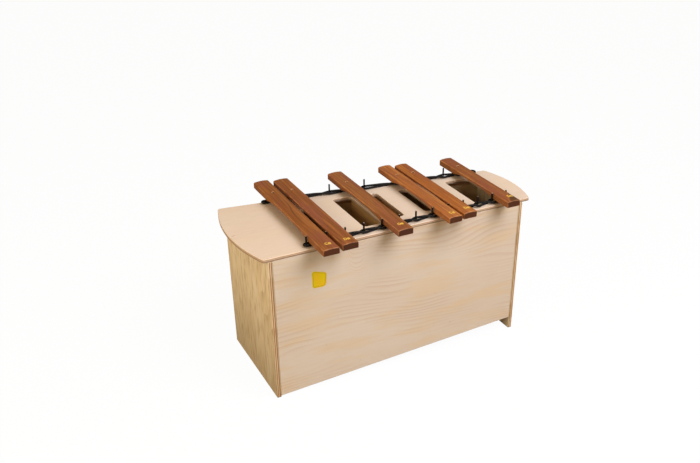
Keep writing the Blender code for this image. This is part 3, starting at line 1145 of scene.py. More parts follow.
@dataclass(frozen=True)
class FoilFinish:
    """Worn gold foil of the note marks.

    Attributes:
        name: Name of the material.
        gold: Main colour.
        pale: Colour of the bright patches.
        worn: Colour of the worn flecks.
    """

    name: str = "note_gold_foil"
    gold: Colour = seen(240, 182, 48)
    pale: Colour = seen(252, 216, 112)
    worn: Colour = seen(178, 112, 40)

    def material(self) -> Material:
        """The finish as a material: bright foil with pale and worn flecks.

        Returns:
            The material.
        """
        graph = NodeGraph(self.name)
        place = graph.place()
        cloud = graph.noise(place, (500, 500, 500), 3.0)
        fleck = graph.fade(graph.noise(place, (1600, 700, 900), 3.0), 0.60, 0.72)
        colour = graph.mix(graph.fade(cloud, 0.35, 0.7), self.gold, self.pale)
        graph.set(base_color=graph.mix(fleck, colour, self.worn), metallic=0.1)
        graph.set(roughness=graph.spread(cloud, 0.28, 0.46))
        graph.bump(cloud, 0.00004, 0.5)
        return graph.material


@dataclass(frozen=True)
class LabelFinish:
    """Plain yellow printed label with a thin frame line.

    Attributes:
        name: Name of the material.
        yellow: Main colour.
        gold: Colour of the warmer patches.
        frame: Colour of the frame line.
        frame_place: Where the line lies, from 0 at the border's inside to 1 at the label's edge.
    """

    name: str = "label_yellow"
    yellow: Colour = seen(228, 200, 8)
    gold: Colour = seen(234, 192, 26)
    frame: Colour = seen(132, 106, 14)
    frame_place: float = 0.35

    def material(self) -> Material:
        """The finish as a material: two yellows in soft patches, and a line inside the label's border.

        Returns:
            The material.
        """
        graph = NodeGraph(self.name)
        board = graph.layer("board")
        patch = graph.noise(board, (38, 30, 0), 2.0)
        paper = graph.noise(board, (1400, 1400, 0), 3.0)
        colour = graph.mix(graph.fade(patch, 0.42, 0.6), self.yellow, self.gold)
        rim = graph.split(graph.layer("rim"))[0]
        off_line = graph.math("ABSOLUTE", graph.math("SUBTRACT", rim, self.frame_place))
        colour = graph.mix(graph.fade(off_line, 0.08, 0.22, 0.6, 0.0), colour, self.frame)
        graph.set(base_color=colour, roughness=graph.spread(paper, 0.4, 0.54))
        graph.set(specular_ior_level=0.2)
        graph.bump(paper, 0.00003, 0.4)
        return graph.material


@dataclass
class BoxPlan:
    """Sizes that the boards of the box share, and the places that follow from them.

    Attributes:
        half_width: Half the distance between the outer faces of the ends.
        bass_depth: Depth of the box at the bass end.
        treble_depth: Depth at the treble end.
        top: Level of the plate's upper face.
        plate: Its thickness.
        end_panel: Thickness of the ends.
        panel: Thickness of the front and back.
        floor_board: Thickness of the floor.
        bass_clearance: Height of the front's lower edge at the bass end.
        treble_clearance: The same at the treble end.
        back_lip: How far the plate stands past the back.
        rail_height: Height of the pins' rails.
        rail_depth: Depth of the front rail.
        rail_setback: Distance of the rear rail from the plate's edge.
        edge: Rounding of the boards' edges.
        guard: Distance from a corner to the points beside it, in edge roundings.
    """

    half_width: float = 0.470
    bass_depth: float = 0.397
    treble_depth: float = 0.263
    top: float = 0.521
    plate: float = 0.012
    end_panel: float = 0.015
    panel: float = 0.012
    floor_board: float = 0.009
    bass_clearance: float = 0.004
    treble_clearance: float = 0.047
    back_lip: float = 0.018
    rail_height: float = 0.022
    rail_depth: float = 0.018
    rail_setback: float = 0.002
    edge: float = 0.0012
    guard: float = 3.0

    def __post_init__(self) -> None:
        """Works out the shared places."""
        self.front = -self.bass_depth / 2
        self.lean = (self.treble_depth - self.bass_depth) / (2 * self.half_width)
        self.slant = math.hypot(1, self.lean)
        self.inner = self.half_width - self.end_panel - JOINT_GAP
        self.rise = (self.treble_clearance - self.bass_clearance) / (2 * self.inner)
        self.panel_top = self.top - self.plate - JOINT_GAP
        self.inside_front = self.front + self.panel + JOINT_GAP

    def back(self, x: float) -> float:
        """Y of the back panel's outer face."""
        return self.front + self.bass_depth + self.lean * (x + self.half_width)

    def plate_back(self, x: float) -> float:
        """Y of the top plate's back edge."""
        return self.back(x) + self.back_lip

    def lower_edge(self, x: float) -> float:
        """Z of the lower edge of the front and back panels."""
        return self.bass_clearance + self.rise * (x + self.inner)


def middle_of(node: str) -> Array:
    """The middle of a node of the frame, seen from above."""
    low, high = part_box(node)
    return np.array([(low.x + high.x) / 2, (low.y + high.y) / 2])


@dataclass
class TopPlate:
    """The sound board, with bulging ends, sound holes and the bores of the pins.

    Attributes:
        plan: The box's shared sizes.
        overhangs: How far the corners stand past the box at the bass and treble ends.
        bulges: How far the ends swell past their corners.
        corner: Radius of the corners.
        holes: Left and right X of each sound hole, and its distances from the plate's front and back edges.
        hole_corner: Radius of the holes' corners.
        edge: Rounding of the outer edge.
        hole_edge: Rounding of the holes' edges.
        nail_bore: Radius of the bores for the nails.
        peg_bore: Radius of the bores for the rear pegs.
        hook_bore: Radius of the bores for the hooks.
        bore_edge: Rounding of the bores' edges.
        grain: Where the plate was cut from its veneer.
    """

    plan: BoxPlan
    overhangs: Pair = (0.015, 0.026)
    bulges: Pair = (0.038, 0.027)
    corner: float = 0.006
    holes: tuple[tuple[float, float, float, float], ...] = (
        (-0.29551, -0.22651, 0.0690, 0.103),
        (-0.11223, -0.04373, 0.0605, 0.058),
        (-0.01524, 0.04826, 0.0765, 0.062),
        (0.12301, 0.15901, 0.0690, 0.065),
        (0.30819, 0.40269, 0.0440, 0.049),
    )
    hole_corner: float = 0.014
    edge: float = 0.0022
    hole_edge: float = 0.0012
    nail_bore: float = 0.0019
    peg_bore: float = 0.0031
    hook_bore: float = 0.0023
    bore_edge: float = 0.0003
    grain: Pair = (3.1, 0.4)

    def outline(self) -> Array:
        """The outer edge: straight front and back, and an arc at either end.

        Returns:
            The outline, anticlockwise.
        """
        plan = self.plan
        left, right = -plan.half_width - self.overhangs[0], plan.half_width + self.overhangs[1]
        corners = np.array(
            [
                (left, plan.front),
                (right, plan.front),
                (right, plan.plate_back(right)),
                (left, plan.plate_back(left)),
            ]
        )
        bass = bulge(corners[3], corners[0], self.bulges[0])
        treble = bulge(corners[1], corners[2], self.bulges[1])
        path = np.vstack([corners[:2], treble, corners[2:], bass])
        radius = np.full(len(path), self.corner)
        radius[2 : 2 + len(treble)] = 0
        radius[4 + len(treble) :] = 0
        return filleted(path, radius)

    def hole(self, left: float, right: float, front_inset: float, back_inset: float) -> Array:
        """A sound hole whose back edge is parallel to the plate's.

        Args:
            left: X of its left side.
            right: X of its right side.
            front_inset: Its distance from the plate's front edge.
            back_inset: Its distance from the plate's back edge.

        Returns:
            The outline, clockwise.
        """
        front = self.plan.front + front_inset
        ends = [(x, self.plan.plate_back(x) - back_inset) for x in (right, left)]
        corners = np.array([(left, front), (right, front), *ends])
        return filleted(corners, np.full(len(corners), self.hole_corner))[::-1]

    def build(self, finish: PlywoodFinish) -> None:
        """Makes the plate.

        Args:
            finish: Its veneer.
        """
        loops = [(self.outline(), self.edge)] + [(self.hole(*hole), self.hole_edge) for hole in self.holes]
        bores = ((FRONT_PINS, self.nail_bore), (REAR_PINS, self.peg_bore), (HOOKS, self.hook_bore))
        for nodes, radius in bores:
            loops += [(circle(middle_of(node), radius), self.bore_edge) for node in nodes]
        board = slab(loops, self.plan.plate, self.grain)
        plate = board.placed(Facing.UP.value, (0, 0, self.plan.top - self.plan.plate))
        fit(plate.piece("sound_board", finish.material()), BOX_BODY, Slot.PLATE, "top_plate")


@dataclass
class ResonatorBox:
    """The boards under the plate.

    Attributes:
        plan: The box's shared sizes.
        partition_faces: Left X of each wall between the chambers.
        partition: Thickness of those walls.
    """

    plan: BoxPlan
    partition_faces: tuple[float, ...] = ()
    partition: float = 0.009

    def board(self, corners: list[Pair], thickness: float, grain: Pair) -> Surface:
        """A board with plain rounded edges.

        Each corner gets a point on either side of it, so that the edges between are shaded flat.

        Args:
            corners: Corners of its outline, anticlockwise.
            thickness: Thickness of the board.
            grain: Where it was cut from its veneer.

        Returns:
            The board's skin.
        """
        edge = self.plan.edge
        corner = np.array(corners, float)
        sides = np.stack([np.roll(corner, way, axis=0) - corner for way in (1, 0, -1)], axis=1)
        length = np.linalg.norm(sides, axis=-1, keepdims=True)
        near = corner[:, None] + self.plan.guard * edge * sides / np.maximum(length, edge)
        return slab([(near.reshape(-1, 2), edge)], thickness, grain)

    def end_panels(self, material: Material) -> None:
        """Makes the two ends, which run down to the floor as feet.

        Args:
            material: Their finish.
        """
        plan = self.plan
        for name, side, facing in (("bass_end", -1, Facing.BASS), ("treble_end", 1, Facing.TREBLE)):
            inner = side * (plan.half_width - plan.end_panel)
            back = plan.back(max(inner, side * plan.half_width))
            low, high = sorted((-side * plan.front, -side * back))
            corners = [(0, low), (plan.panel_top, low), (plan.panel_top, high), (0, high)]
            board = self.board(corners, plan.end_panel, (2.3, 5.0 + side))
            panel = board.placed(facing.value, (inner, 0, 0))
            fit(panel.piece(name + "_board", material), BOX_BODY, Slot.PANEL, name + "_panel")

    def walls(self, front_finish: Material, back_finish: Material) -> None:
        """Makes the front and back walls, whose lower edges rise towards the treble.

        Args:
            front_finish: Finish of the front.
            back_finish: Finish of the back.
        """
        plan = self.plan
        inner, low, high = plan.inner, plan.lower_edge(-plan.inner), plan.lower_edge(plan.inner)
        corners = [(-inner, low), (inner, high), (inner, plan.panel_top), (-inner, plan.panel_top)]
        board = self.board(corners, plan.panel, (0.0, 0.0))
        panel = board.placed(Facing.FRONT.value, (0, plan.front + plan.panel, 0))
        fit(panel.piece("front_board", front_finish), BOX_BODY, Slot.PANEL, "front_panel")
        top = plan.panel_top - plan.rail_height - JOINT_GAP
        corners = [(-inner, high), (inner, low), (inner, top), (-inner, top)]
        board = self.board(corners, plan.panel, (7.0, 2.0))
        axes = ((-1, -plan.lean, 0), (0, 0, 1), (0, plan.slant, 0))
        panel = board.placed(axes, (0, plan.back(0) - plan.panel * plan.slant, 0))
        fit(panel.piece("back_board", back_finish), BOX_BODY, Slot.PANEL, "back_panel")

    def floor(self, material: Material) -> None:
        """Makes the resonator's sloping floor.

        Args:
            material: Its finish.
        """
        plan = self.plan
        inset = plan.panel * plan.slant + JOINT_GAP
        left, right = -plan.inner, plan.inner
        corners = [(left, plan.inside_front), (right, plan.inside_front)]
        corners += [(x, plan.back(x) - inset) for x in (right, left)]
        board = self.board(corners, plan.floor_board, (4.0, 8.0))
        panel = board.placed(((1, 0, plan.rise), (0, 1, 0), (0, 0, 1)), (0, 0, plan.lower_edge(0)))
        fit(panel.piece("resonator_floor", material), BOX_BODY, Slot.PANEL, "floor_board")

    def partitions(self, material: Material) -> None:
        """Makes the walls between the chambers, notched round the front rail.

        Args:
            material: Their finish.
        """
        plan = self.plan
        front, top = plan.inside_front, plan.panel_top
        notch_back = front + plan.rail_depth + JOINT_GAP
        notch_low = top - plan.rail_height - JOINT_GAP
        for number, left in enumerate(self.partition_faces, 1):
            right = left + self.partition
            back = plan.back(right) - plan.panel * plan.slant - JOINT_GAP
            bottom = plan.lower_edge(right) + plan.floor_board + JOINT_GAP
            corners = [(front, bottom), (back, bottom), (back, top), (notch_back, top)]
            corners += [(notch_back, notch_low), (front, notch_low)]
            board = self.board(corners, self.partition, (1.7 * number, 3.0))
            wall = board.placed(Facing.INSIDE.value, (left, 0, 0))
            fit(wall.piece(f"chamber_wall_{number}", material), BOX_BODY, Slot.PANEL, f"partition_{number}")

    def rails(self, material: Material) -> None:
        """Makes the rails that the pins are driven into.

        Args:
            material: Their finish.
        """
        plan = self.plan
        inner = plan.inner
        front, back = plan.inside_front, plan.inside_front + plan.rail_depth
        inside = plan.panel * plan.slant
        lip = plan.back_lip - plan.rail_setback
        rows = {
            "front_pin_rail": ((front, front), (back, back)),
            "rear_pin_rail": (
                (plan.back(-inner) - inside, plan.back(inner) - inside),
                (plan.back(-inner) + lip, plan.back(inner) + lip),
            ),
        }
        for node, (near, far) in rows.items():
            corners = [(-inner, near[0]), (inner, near[1]), (inner, far[1]), (-inner, far[0])]
            board = self.board(corners, plan.rail_height, (1.0, 6.0))
            rail = board.placed(Facing.UP.value, (0, 0, plan.panel_top - plan.rail_height))
            fit(rail.piece(node + "_wood", material), BOX_BODY, Slot.RAIL, node)


@dataclass
class PinRows:
    """The pins that hold the bars: sleeved nails in front and coated pegs behind.

    Attributes:
        top: Level of the plate.
        nail: Radius of the nails.
        sleeve: Outer radius of their sleeves.
        peg: Radius of the rear pegs.
        height: Height of the pins over the plate.
        embed: How deep they go in.
        bare: Length of nail that shows over its sleeve.
        point: Length of the nails' points.
        nail_dome: Rise of the nails' heads.
        peg_dome: Rise of the pegs' heads.
        rim: Rounding of the sleeves' upper rims.
        foot: Heights over which the sleeves flare at the plate.
        flare: How far they flare at the second of those heights and at the plate.
    """

    top: float
    nail: float = 0.0016
    sleeve: float = 0.0031
    peg: float = 0.0028
    height: float = 0.0385
    embed: float = 0.026
    bare: float = 0.003
    point: float = 0.005
    nail_dome: float = 0.0012
    peg_dome: float = 0.0016
    rim: float = 0.0004
    foot: Pair = (0.004, 0.0015)
    flare: Pair = (0.0002, 0.0003)

    def domed(self, radius: float, rise: float, steps: int = 7) -> Array:
        """A quarter ellipse from the axis at the top to a radius, as radius and height.

        Args:
            radius: Radius at its foot.
            rise: Height of the dome.
            steps: Steps along it.

        Returns:
            The profile.
        """
        turn = np.linspace(0, np.pi / 2, steps)
        return np.stack([radius * np.sin(turn), self.height - rise * (1 - np.cos(turn))], axis=1)

    def build(self, steel: Material, rubber: Material) -> None:
        """Makes the nails, their sleeves and the rear pegs.

        Args:
            steel: Finish of the nails.
            rubber: Finish of the sleeves and the pegs' coating.
        """
        point = [(self.nail, self.point - self.embed), (0, -self.embed)]
        nail = np.vstack([self.domed(self.nail, self.nail_dome), point])
        inner, outer, rim = self.nail + JOINT_GAP, self.sleeve, self.rim
        top = self.height - self.bare
        tube = np.array(
            [
                (inner, top),
                (outer - rim, top),
                (outer - 0.3 * rim, top - 0.3 * rim),
                (outer, top - rim),
                (outer, self.foot[0]),
                (outer + self.flare[0], self.foot[1]),
                (outer + self.flare[1], JOINT_GAP),
                (inner, JOINT_GAP),
            ]
        )
        peg = np.vstack([self.domed(self.peg, self.peg_dome), [(self.peg, -self.embed), (0, -self.embed)]])
        for node in FRONT_PINS:
            number = node[-2:]
            place = (*middle_of(node), self.top)
            made = turned(nail, place).piece("front_nail_" + number, steel)
            fit(made, BOX_BODY, Slot.NAIL, node)
            made = turned(tube, place, closed=True).piece("nail_sleeve_" + number, rubber)
            fit(made, BOX_BODY, Slot.SLEEVE, "front_pin_sleeve_" + number)
        for node in REAR_PINS:
            made = turned(peg, (*middle_of(node), self.top)).piece("rear_peg_" + node[-2:], rubber)
            fit(made, BOX_BODY, Slot.SLEEVE, node)


@dataclass
class CordHooks:
    """Headed screws that the rear cord's ends loop round.

    Attributes:
        top: Level of the plate.
        shank: Radius of their shanks.
        head: Radius of their heads.
        head_height: Height of the heads.
        dome: Share of that height which is domed.
        bevel: Bevel of the heads' lower edges.
        embed: How deep they go in.
        point: Length of their points.
    """

    top: float
    shank: float = 0.002
    head: float = 0.0055
    head_height: float = 0.003
    dome: float = 0.6
    bevel: float = 0.0003
    embed: float = 0.026
    point: float = 0.005

    def build(self, steel: Material) -> None:
        """Makes both screws, with low domed heads.

        Args:
            steel: Their finish.
        """
        for node in HOOKS:
            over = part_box(node)[1].z - self.top
            under = over - self.head_height
            turn = np.linspace(0, np.pi / 2, 7)
            rise = self.dome * self.head_height
            dome = np.stack([self.head * np.sin(turn), over - rise * (1 - np.cos(turn))], axis=1)
            below = [(self.head, under + self.bevel), (self.head - self.bevel, under), (self.shank, under)]
            below += [(self.shank, self.point - self.embed), (0, -self.embed)]
            made = turned(np.vstack([dome, below]), (*middle_of(node), self.top))
            fit(made.piece(node + "_screw", steel), BOX_BODY, Slot.HOOK, node)


@dataclass
class SuspensionCord:
    """A closed loop of braided cord, whose two strands cross between the pins.

    Attributes:
        node: The cord in the frame.
        stations: What it passes, from end to end.
        grips: Radius of what stands there.
        level: Height of its middle.
        radius: Radius of the cord.
        reach: Height by which the strands pass over and under each other.
        press: How much flatter a strand is where it crosses the other.
        slack: How far a strand stands off its pin at the bass and treble ends.
        strands: Strands of the braid in each direction.
        pitch: Length in which a strand goes once round.
        relief: Depth of the braid.
        clearance: Gap between the cord and what it passes.
    """

    node: str
    stations: Array
    grips: Array
    level: float
    radius: float = 0.0039
    reach: float = 0.0034
    press: float = 0.0005
    slack: Pair = (0.0, 0.0048)
    strands: int = 6
    pitch: float = 0.015
    relief: float = 0.0003
    clearance: float = 0.0001

    def route(self, steps: int = 24, turn_steps: int = 24) -> Array:
        """The middle of the cord.

        Along a row the distance to the side falls as the cosine of pi times the place counted in stations,
        while the height rises as the sine, and the other strand is opposite. That distance is wide enough for
        what stands at a station and closes to the cord's radius by the fourth power of the cosine. A half
        circle joins the strands at either end. They are pressed flat by the square of the sine.

        Args:
            steps: Steps from station to station.
            turn_steps: Steps round each end.

        Returns:
            Points of the closed line, each with how far it is pressed flat.
        """
        spans = len(self.stations) - 1
        place = np.linspace(0, spans, spans * steps + 1)
        row = np.stack([np.interp(place, np.arange(spans + 1), self.stations[:, k]) for k in (0, 1)], axis=1)
        along = unit(self.stations[-1] - self.stations[0])
        across = np.array([-along[1], along[0]])
        eyes = self.grips + self.radius + self.clearance + np.linspace(*self.slack, spans + 1)
        swing = np.cos(np.pi * place)
        open_by = np.interp(place, np.arange(spans + 1), eyes) - self.radius
        sway = np.outer(swing * (self.radius + open_by * swing**4), across)
        rise = np.sin(np.pi * place)[:, None]
        there = np.hstack([row + sway, self.level + self.reach * rise, rise**2])
        back = np.hstack([row - sway, self.level - self.reach * rise, rise**2])[::-1]
        turn = np.linspace(0, np.pi, turn_steps + 1)[1:-1, None]
        far_side = 1 if spans % 2 == 0 else -1
        far = self.stations[-1] + eyes[-1] * (far_side * np.cos(turn) * across + np.sin(turn) * along)
        near = self.stations[0] - eyes[0] * (np.cos(turn) * across + np.sin(turn) * along)
        level = np.tile((self.level, 0.0), (turn_steps - 1, 1))
        return np.vstack([there, np.hstack([far, level]), back, np.hstack([near, level])])

    def tube(self, sides: int = 28, spacing: float = 0.0007) -> Surface:
        """The braided skin round the route.

        At place s and angle a the radius is R - d (1 - h), where h is the larger of two crests,
        (1 + cos k (a - p)) / 2 and (1 + cos k (a + p)) / 2, and p turns once in each pitch. A pressed ring is
        an ellipse, as much wider as it is lower.

        Args:
            sides: Steps round the cord.
            spacing: Distance between rings.

        Returns:
            The skin, with its layer "weave".
        """
        path = self.route()
        closed = np.vstack([path, path[:1]])
        steps = np.linalg.norm(np.diff(closed[:, :3], axis=0), axis=1)
        travel = np.concatenate([[0], np.cumsum(steps)])
        length = float(travel[-1])
        place = np.linspace(0, length, int(length / spacing), endpoint=False)
        line = np.stack([np.interp(place, travel, closed[:, k]) for k in range(4)], axis=1)
        middle, pressed = line[:, :3], self.press / self.radius * line[:, 3:]
        along = unit(np.roll(middle, -2, axis=0) - np.roll(middle, 2, axis=0))
        side = unit(np.cross((0, 0, 1), along))
        up = np.cross(along, side)
        angle = np.linspace(0, 2 * np.pi, sides, endpoint=False)
        phase = 2 * np.pi * round(length / self.pitch) * place[:, None] / length
        crests = [(1 + np.cos(self.strands * (angle + way * phase))) / 2 for way in (-1, 1)]
        height = np.maximum(*crests)
        radius = (self.radius - self.relief * (1 - height))[:, :, None]
        side, up = side * (1 + pressed), up * (1 - pressed)
        spoke = np.cos(angle)[:, None] * side[:, None] - np.sin(angle)[:, None] * up[:, None]
        points = (middle[:, None] + radius * spoke).reshape(-1, 3)
        index = np.arange(len(points)).reshape(len(place), sides)
        turns = np.broadcast_to(angle / (2 * np.pi), height.shape)
        weave = np.stack([np.broadcast_to(place[:, None], height.shape), turns, height], axis=-1)
        LOG.info("%s is %.3f m long", self.node, length)
        faces = quads_of(index, close_rows=True).reshape(-1, 4)
        return Surface(points, [faces], {"weave": weave.reshape(-1, 3)})

    def build(self, material: Material) -> None:
        """Makes the cord."""
        fit(self.tube().piece(self.node + "_braid", material), BOX_BODY, Slot.CORD, self.node)


@dataclass
class NoteMark:
    """A bar's note name in foil.

    Attributes:
        words: The name.
        place: Middle of the mark.
        width: Width across the bar.
        length: Length along the bar.
        thickness: Thickness of the foil.
        lift: Height of its middle over the wood, in thicknesses.
        weight: How much bolder its letters are than plain ones.
    """

    words: str
    place: Pair
    width: float = 0.0205
    length: float = 0.0155
    thickness: float = 0.0002
    lift: float = 0.3
    weight: float = 0.03

    def flat(self) -> tuple[Array, Index]:
        """The words as a mesh one unit wide and one unit long, with its middle at the origin.

        Returns:
            Points and triangles.
        """
        curve = bpy.data.curves.new("note_words", "FONT")
        curve.body = self.words
        curve.align_x = "CENTER"
        curve.offset = self.weight
        curve.extrude = 0.5
        words = bpy.data.objects.new("note_words", curve)
        bpy.context.scene.collection.objects.link(words)
        state = bpy.context.evaluated_depsgraph_get()
        mesh = bpy.data.meshes.new_from_object(words.evaluated_get(state))
        mesh.calc_loop_triangles()
        points = np.empty(len(mesh.vertices) * 3)
        mesh.vertices.foreach_get("co", points)
        triangles = np.empty(len(mesh.loop_triangles) * 3, np.int64)
        mesh.loop_triangles.foreach_get("vertices", triangles)
        bpy.data.objects.remove(words)
        bpy.data.meshes.remove(mesh)
        points = points.reshape(-1, 3)
        low, high = points.min(axis=0), points.max(axis=0)
        return (points - (low + high) / 2) / (high - low), triangles.reshape(-1, 3)


@dataclass
class Bar:
    """A crowned rosewood bar, arched below, with a bore for its rear peg.

    Attributes:
        body: The bar's body.
        rear_pin: Number of its rear peg.
        undercut: Depth of its arch.
        finish: Its wood.
        mark: Its note mark.
        crown: Height at the middle of its top.
        edge: Height where the crown meets its sides.
        shoulder: Rounding of its upper edges.
        heel: Rounding of its lower edges.
        end_round: Rounding of its ends.
        bore: Radius of the bore.
        bore_edge: Rounding of the bore's edges.
        collar: Half the side of the square of mesh round the bore.
        cells: Cells along that square's side.
        wing_cells: Cells across the bar on either side of the square.
        side_rows: Points up each side between its rounded edges.
        spacing: Distance between rings along the bar.
        end_wear_and_highlight: How much the ends' rounded edges are painted lighter, as wear and as painted
            highlight.
        front_row: Y of the front row of pins.
        arch_margin: Distance of the arch from the rows of pins.
        arch_power: How flat the arch is.
    """

    body: str
    rear_pin: int
    undercut: float
    finish: RosewoodFinish
    mark: NoteMark
    crown: float = 0.024
    edge: float = 0.0212
    shoulder: float = 0.0045
    heel: float = 0.0035
    end_round: float = 0.0030
    bore: float = 0.0045
    bore_edge: float = 0.0009
    collar: float = 0.0075
    cells: int = 8
    wing_cells: int = 8
    side_rows: int = 4
    spacing: float = 0.0025
    end_wear_and_highlight: float = 0.7
    front_row: float = -0.178
    arch_margin: float = 0.010
    arch_power: float = 3.5

    def __post_init__(self) -> None:
        """Reads the bar's place from the frame."""
        self.low, self.high = (np.array(corner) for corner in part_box(self.body + "_bar"))
        self.half = float(self.high[0] - self.low[0]) / 2
        self.axis = middle_of(f"rear_pin_{self.rear_pin:02}")
        self.slope = math.atan(2 * (self.crown - self.edge) * (self.half - self.shoulder) / self.half**2)
        self.meet = self.half - self.shoulder * (1 - math.sin(self.slope))
        self.side_top = float(self.top(np.array(self.meet))) - self.shoulder * math.cos(self.slope)

    def top(self, across: Array) -> Array:
        """Height of the crown at a distance from the bar's axis."""
        return self.crown - (self.crown - self.edge) * (across / self.half) ** 2

    def columns(self, reach: float) -> Array:
        """Places across a face, with even cells over the bore's collar.

        Args:
            reach: Half the face's width.

        Returns:
            Places from side to side.
        """
        collar = np.linspace(-self.collar, self.collar, self.cells + 1)
        wing = np.linspace(self.collar, reach, self.wing_cells + 1)[1:]
        return np.concatenate([-wing[::-1], collar, wing])

    def section(self) -> tuple[Array, Array, Index, Index]:
        """The cross-section, anticlockwise seen from the front.

        It is flat below, has a quarter circle at each heel, upright sides, an arc at each shoulder that ends
        tangent to the crown, and the crown, a parabola.

        Returns:
            The outline, 1 for its points on rounded edges and 0 for others, and its point numbers under and
            over the bore's collar by rising X.
        """
        below, above = self.columns(self.half - self.heel), self.columns(self.meet)[::-1]
        lower = np.linspace(-np.pi / 2, 0, 7)[1:]
        heel = (self.half - self.heel + self.heel * np.cos(lower), self.heel * (1 + np.sin(lower)))
        turn = np.linspace(0, np.pi / 2 - self.slope, 10)[:-1]
        middle = (self.half - self.shoulder, self.side_top)
        arc = (middle[0] + self.shoulder * np.cos(turn), middle[1] + self.shoulder * np.sin(turn))
        side = np.linspace(self.heel, self.side_top, self.side_rows + 2)[1:-1]
        right = np.hstack([heel, (np.full(self.side_rows, self.half), side), arc]).T
        left = right[::-1] * (-1, 1)
        under = np.stack([below, np.zeros_like(below)], axis=1)
        over = np.stack([above, self.top(above)], axis=1)
        outline = np.vstack([under, right, over, left])
        # Weights for wear and painted highlight, largest in the middle of each rounded edge.
        worn = np.concatenate([np.sin(2 * lower) ** 4, np.zeros(self.side_rows), np.sin(2 * turn) ** 4])
        worn = np.concatenate([np.zeros(len(under)), worn, np.zeros(len(over)), worn[::-1]])
        collar = self.wing_cells + np.arange(self.cells + 1)
        return outline, worn, collar, len(under) + len(right) + collar[::-1]

    def rows(self) -> tuple[Array, Array, int]:
        """Places of the rings along the bar, with the rounding of the ends.

        Returns:
            Y of each ring, how far it lies inside the section, and the ring where the collar begins.
        """
        turn = np.linspace(0, np.pi / 2, 5)
        inset, step = self.end_round * (1 - np.sin(turn)), self.end_round * (1 - np.cos(turn))
        arch = (self.front_row + self.arch_margin, self.axis[1] - self.arch_margin)
        collar = (self.axis[1] - self.collar, self.axis[1] + self.collar)
        stops = (self.low[1] + self.end_round, *arch, *collar, self.high[1] - self.end_round)
        counts = [max(1, math.ceil((b - a) / self.spacing)) for a, b in zip(stops, stops[1:])]
        counts[stops.index(collar[0])] = self.cells
        spans = [np.linspace(a, b, count + 1)[1:] for a, b, count in zip(stops, stops[1:], counts)]
        between = np.concatenate(spans)[:-1]
        place = np.concatenate([self.low[1] + step, between, self.high[1] - step[::-1]])
        inset = np.concatenate([inset, np.zeros(len(between)), inset[::-1]])
        return place, inset, len(step) - 1 + sum(map(len, spans[:3]))

    def arch(self, place: Array) -> Array:
        """Height of the underside: depth times (1 - |s|^power), with s from -1 to 1 along the arch.

        Args:
            place: Y along the bar.

        Returns:
            The heights.
        """
        start, end = self.front_row + self.arch_margin, self.axis[1] - self.arch_margin
        share = np.clip((2 * place - start - end) / (end - start), -1, 1)
        return self.undercut * (1 - np.abs(share) ** self.arch_power)

    def tunnel(self) -> Array:
        """Rings from the collar's square on top, down the bore and out to the square below.

        Over the collar a ring goes from the square to the circle in even shares. Each edge of the bore is a
        quarter circle.

        Returns:
            The rings between the two squares, clockwise seen from above, round the bore's axis.
        """
        count = 4 * self.cells
        angle = np.radians(225) - 2 * np.pi * np.arange(count) / count
        ray = np.stack([np.cos(angle), np.sin(angle)], axis=1)
        line = np.linspace(-self.collar, self.collar, self.cells + 1)
        fixed = np.full(self.cells, self.collar)
        square = np.vstack(
            [
                np.stack([-fixed, line[:-1]], axis=1),
                np.stack([line[:-1], fixed], axis=1),
                np.stack([fixed, line[:0:-1]], axis=1),
                np.stack([line[:0:-1], -fixed], axis=1),
            ]
        )
        wide = self.bore + self.bore_edge
        share = np.linspace(0, 1, 4)[1:-1, None, None]
        apron = square * (1 - share) + wide * ray * share
        turn = np.linspace(0, np.pi / 2, 5)[:, None, None]
        lip = (wide - self.bore_edge * np.sin(turn)) * ray
        drop = self.bore_edge * (1 - np.cos(turn[..., 0]))
        flat = np.concatenate([apron, lip])
        drop = np.concatenate([np.zeros((2, 1)), drop])
        upper = np.concatenate([flat, (self.top(flat[..., 0]) - drop)[..., None]], axis=-1)
        lower = np.concatenate([flat, np.broadcast_to(drop[..., None], (*flat.shape[:2], 1))], axis=-1)[::-1]
        return np.concatenate([upper, lower])

    def skin(self) -> Surface:
        """The whole bar as one skin.

        The section is carried along the bar. Points below are raised by the arch, and those on the sides by a
        share that falls to nothing at the shoulders.

        Returns:
            The skin, with the layer "wear_and_highlight": 1 in the bore, and 1 on rounded edges, where the
            wood is painted paler as wear and as painted highlight.
        """
        outline, worn, below, above = self.section()
        place, inset, start = self.rows()
        ring = outline - inset[:, None, None] * mitres(outline)
        raise_share = 1 - np.clip(ring[..., 1] / self.side_top, 0, 1)
        height = ring[..., 1] + raise_share * self.arch(place)[:, None]
        along = np.broadcast_to(place[:, None], height.shape)
        points = np.stack([ring[..., 0] + self.axis[0], along, height + self.low[2]], axis=-1)
        index = np.arange(height.size).reshape(height.shape)
        quads = quads_of(index)
        kept = np.ones(quads.shape[:2], bool)
        kept[start : start + self.cells, below[0] : below[-1]] = False
        kept[start : start + self.cells, above[-1] : above[0]] = False
        up = start + np.arange(self.cells + 1)
        edges = [
            np.concatenate(
                [
                    index[up[:-1], collar[0]],
                    index[up[-1], collar[:-1]],
                    index[up[:0:-1], collar[-1]],
                    index[up[0], collar[:0:-1]],
                ]
            )
            for collar in (above, below)
        ]
        rings = self.tunnel()
        inner = index.size + np.arange(rings.shape[0] * rings.shape[1]).reshape(rings.shape[:2])
        tunnel = quads_of(np.vstack([edges[0], inner, edges[1]])).reshape(-1, 4)
        rings = rings.reshape(-1, 3) + (*self.axis, self.low[2])
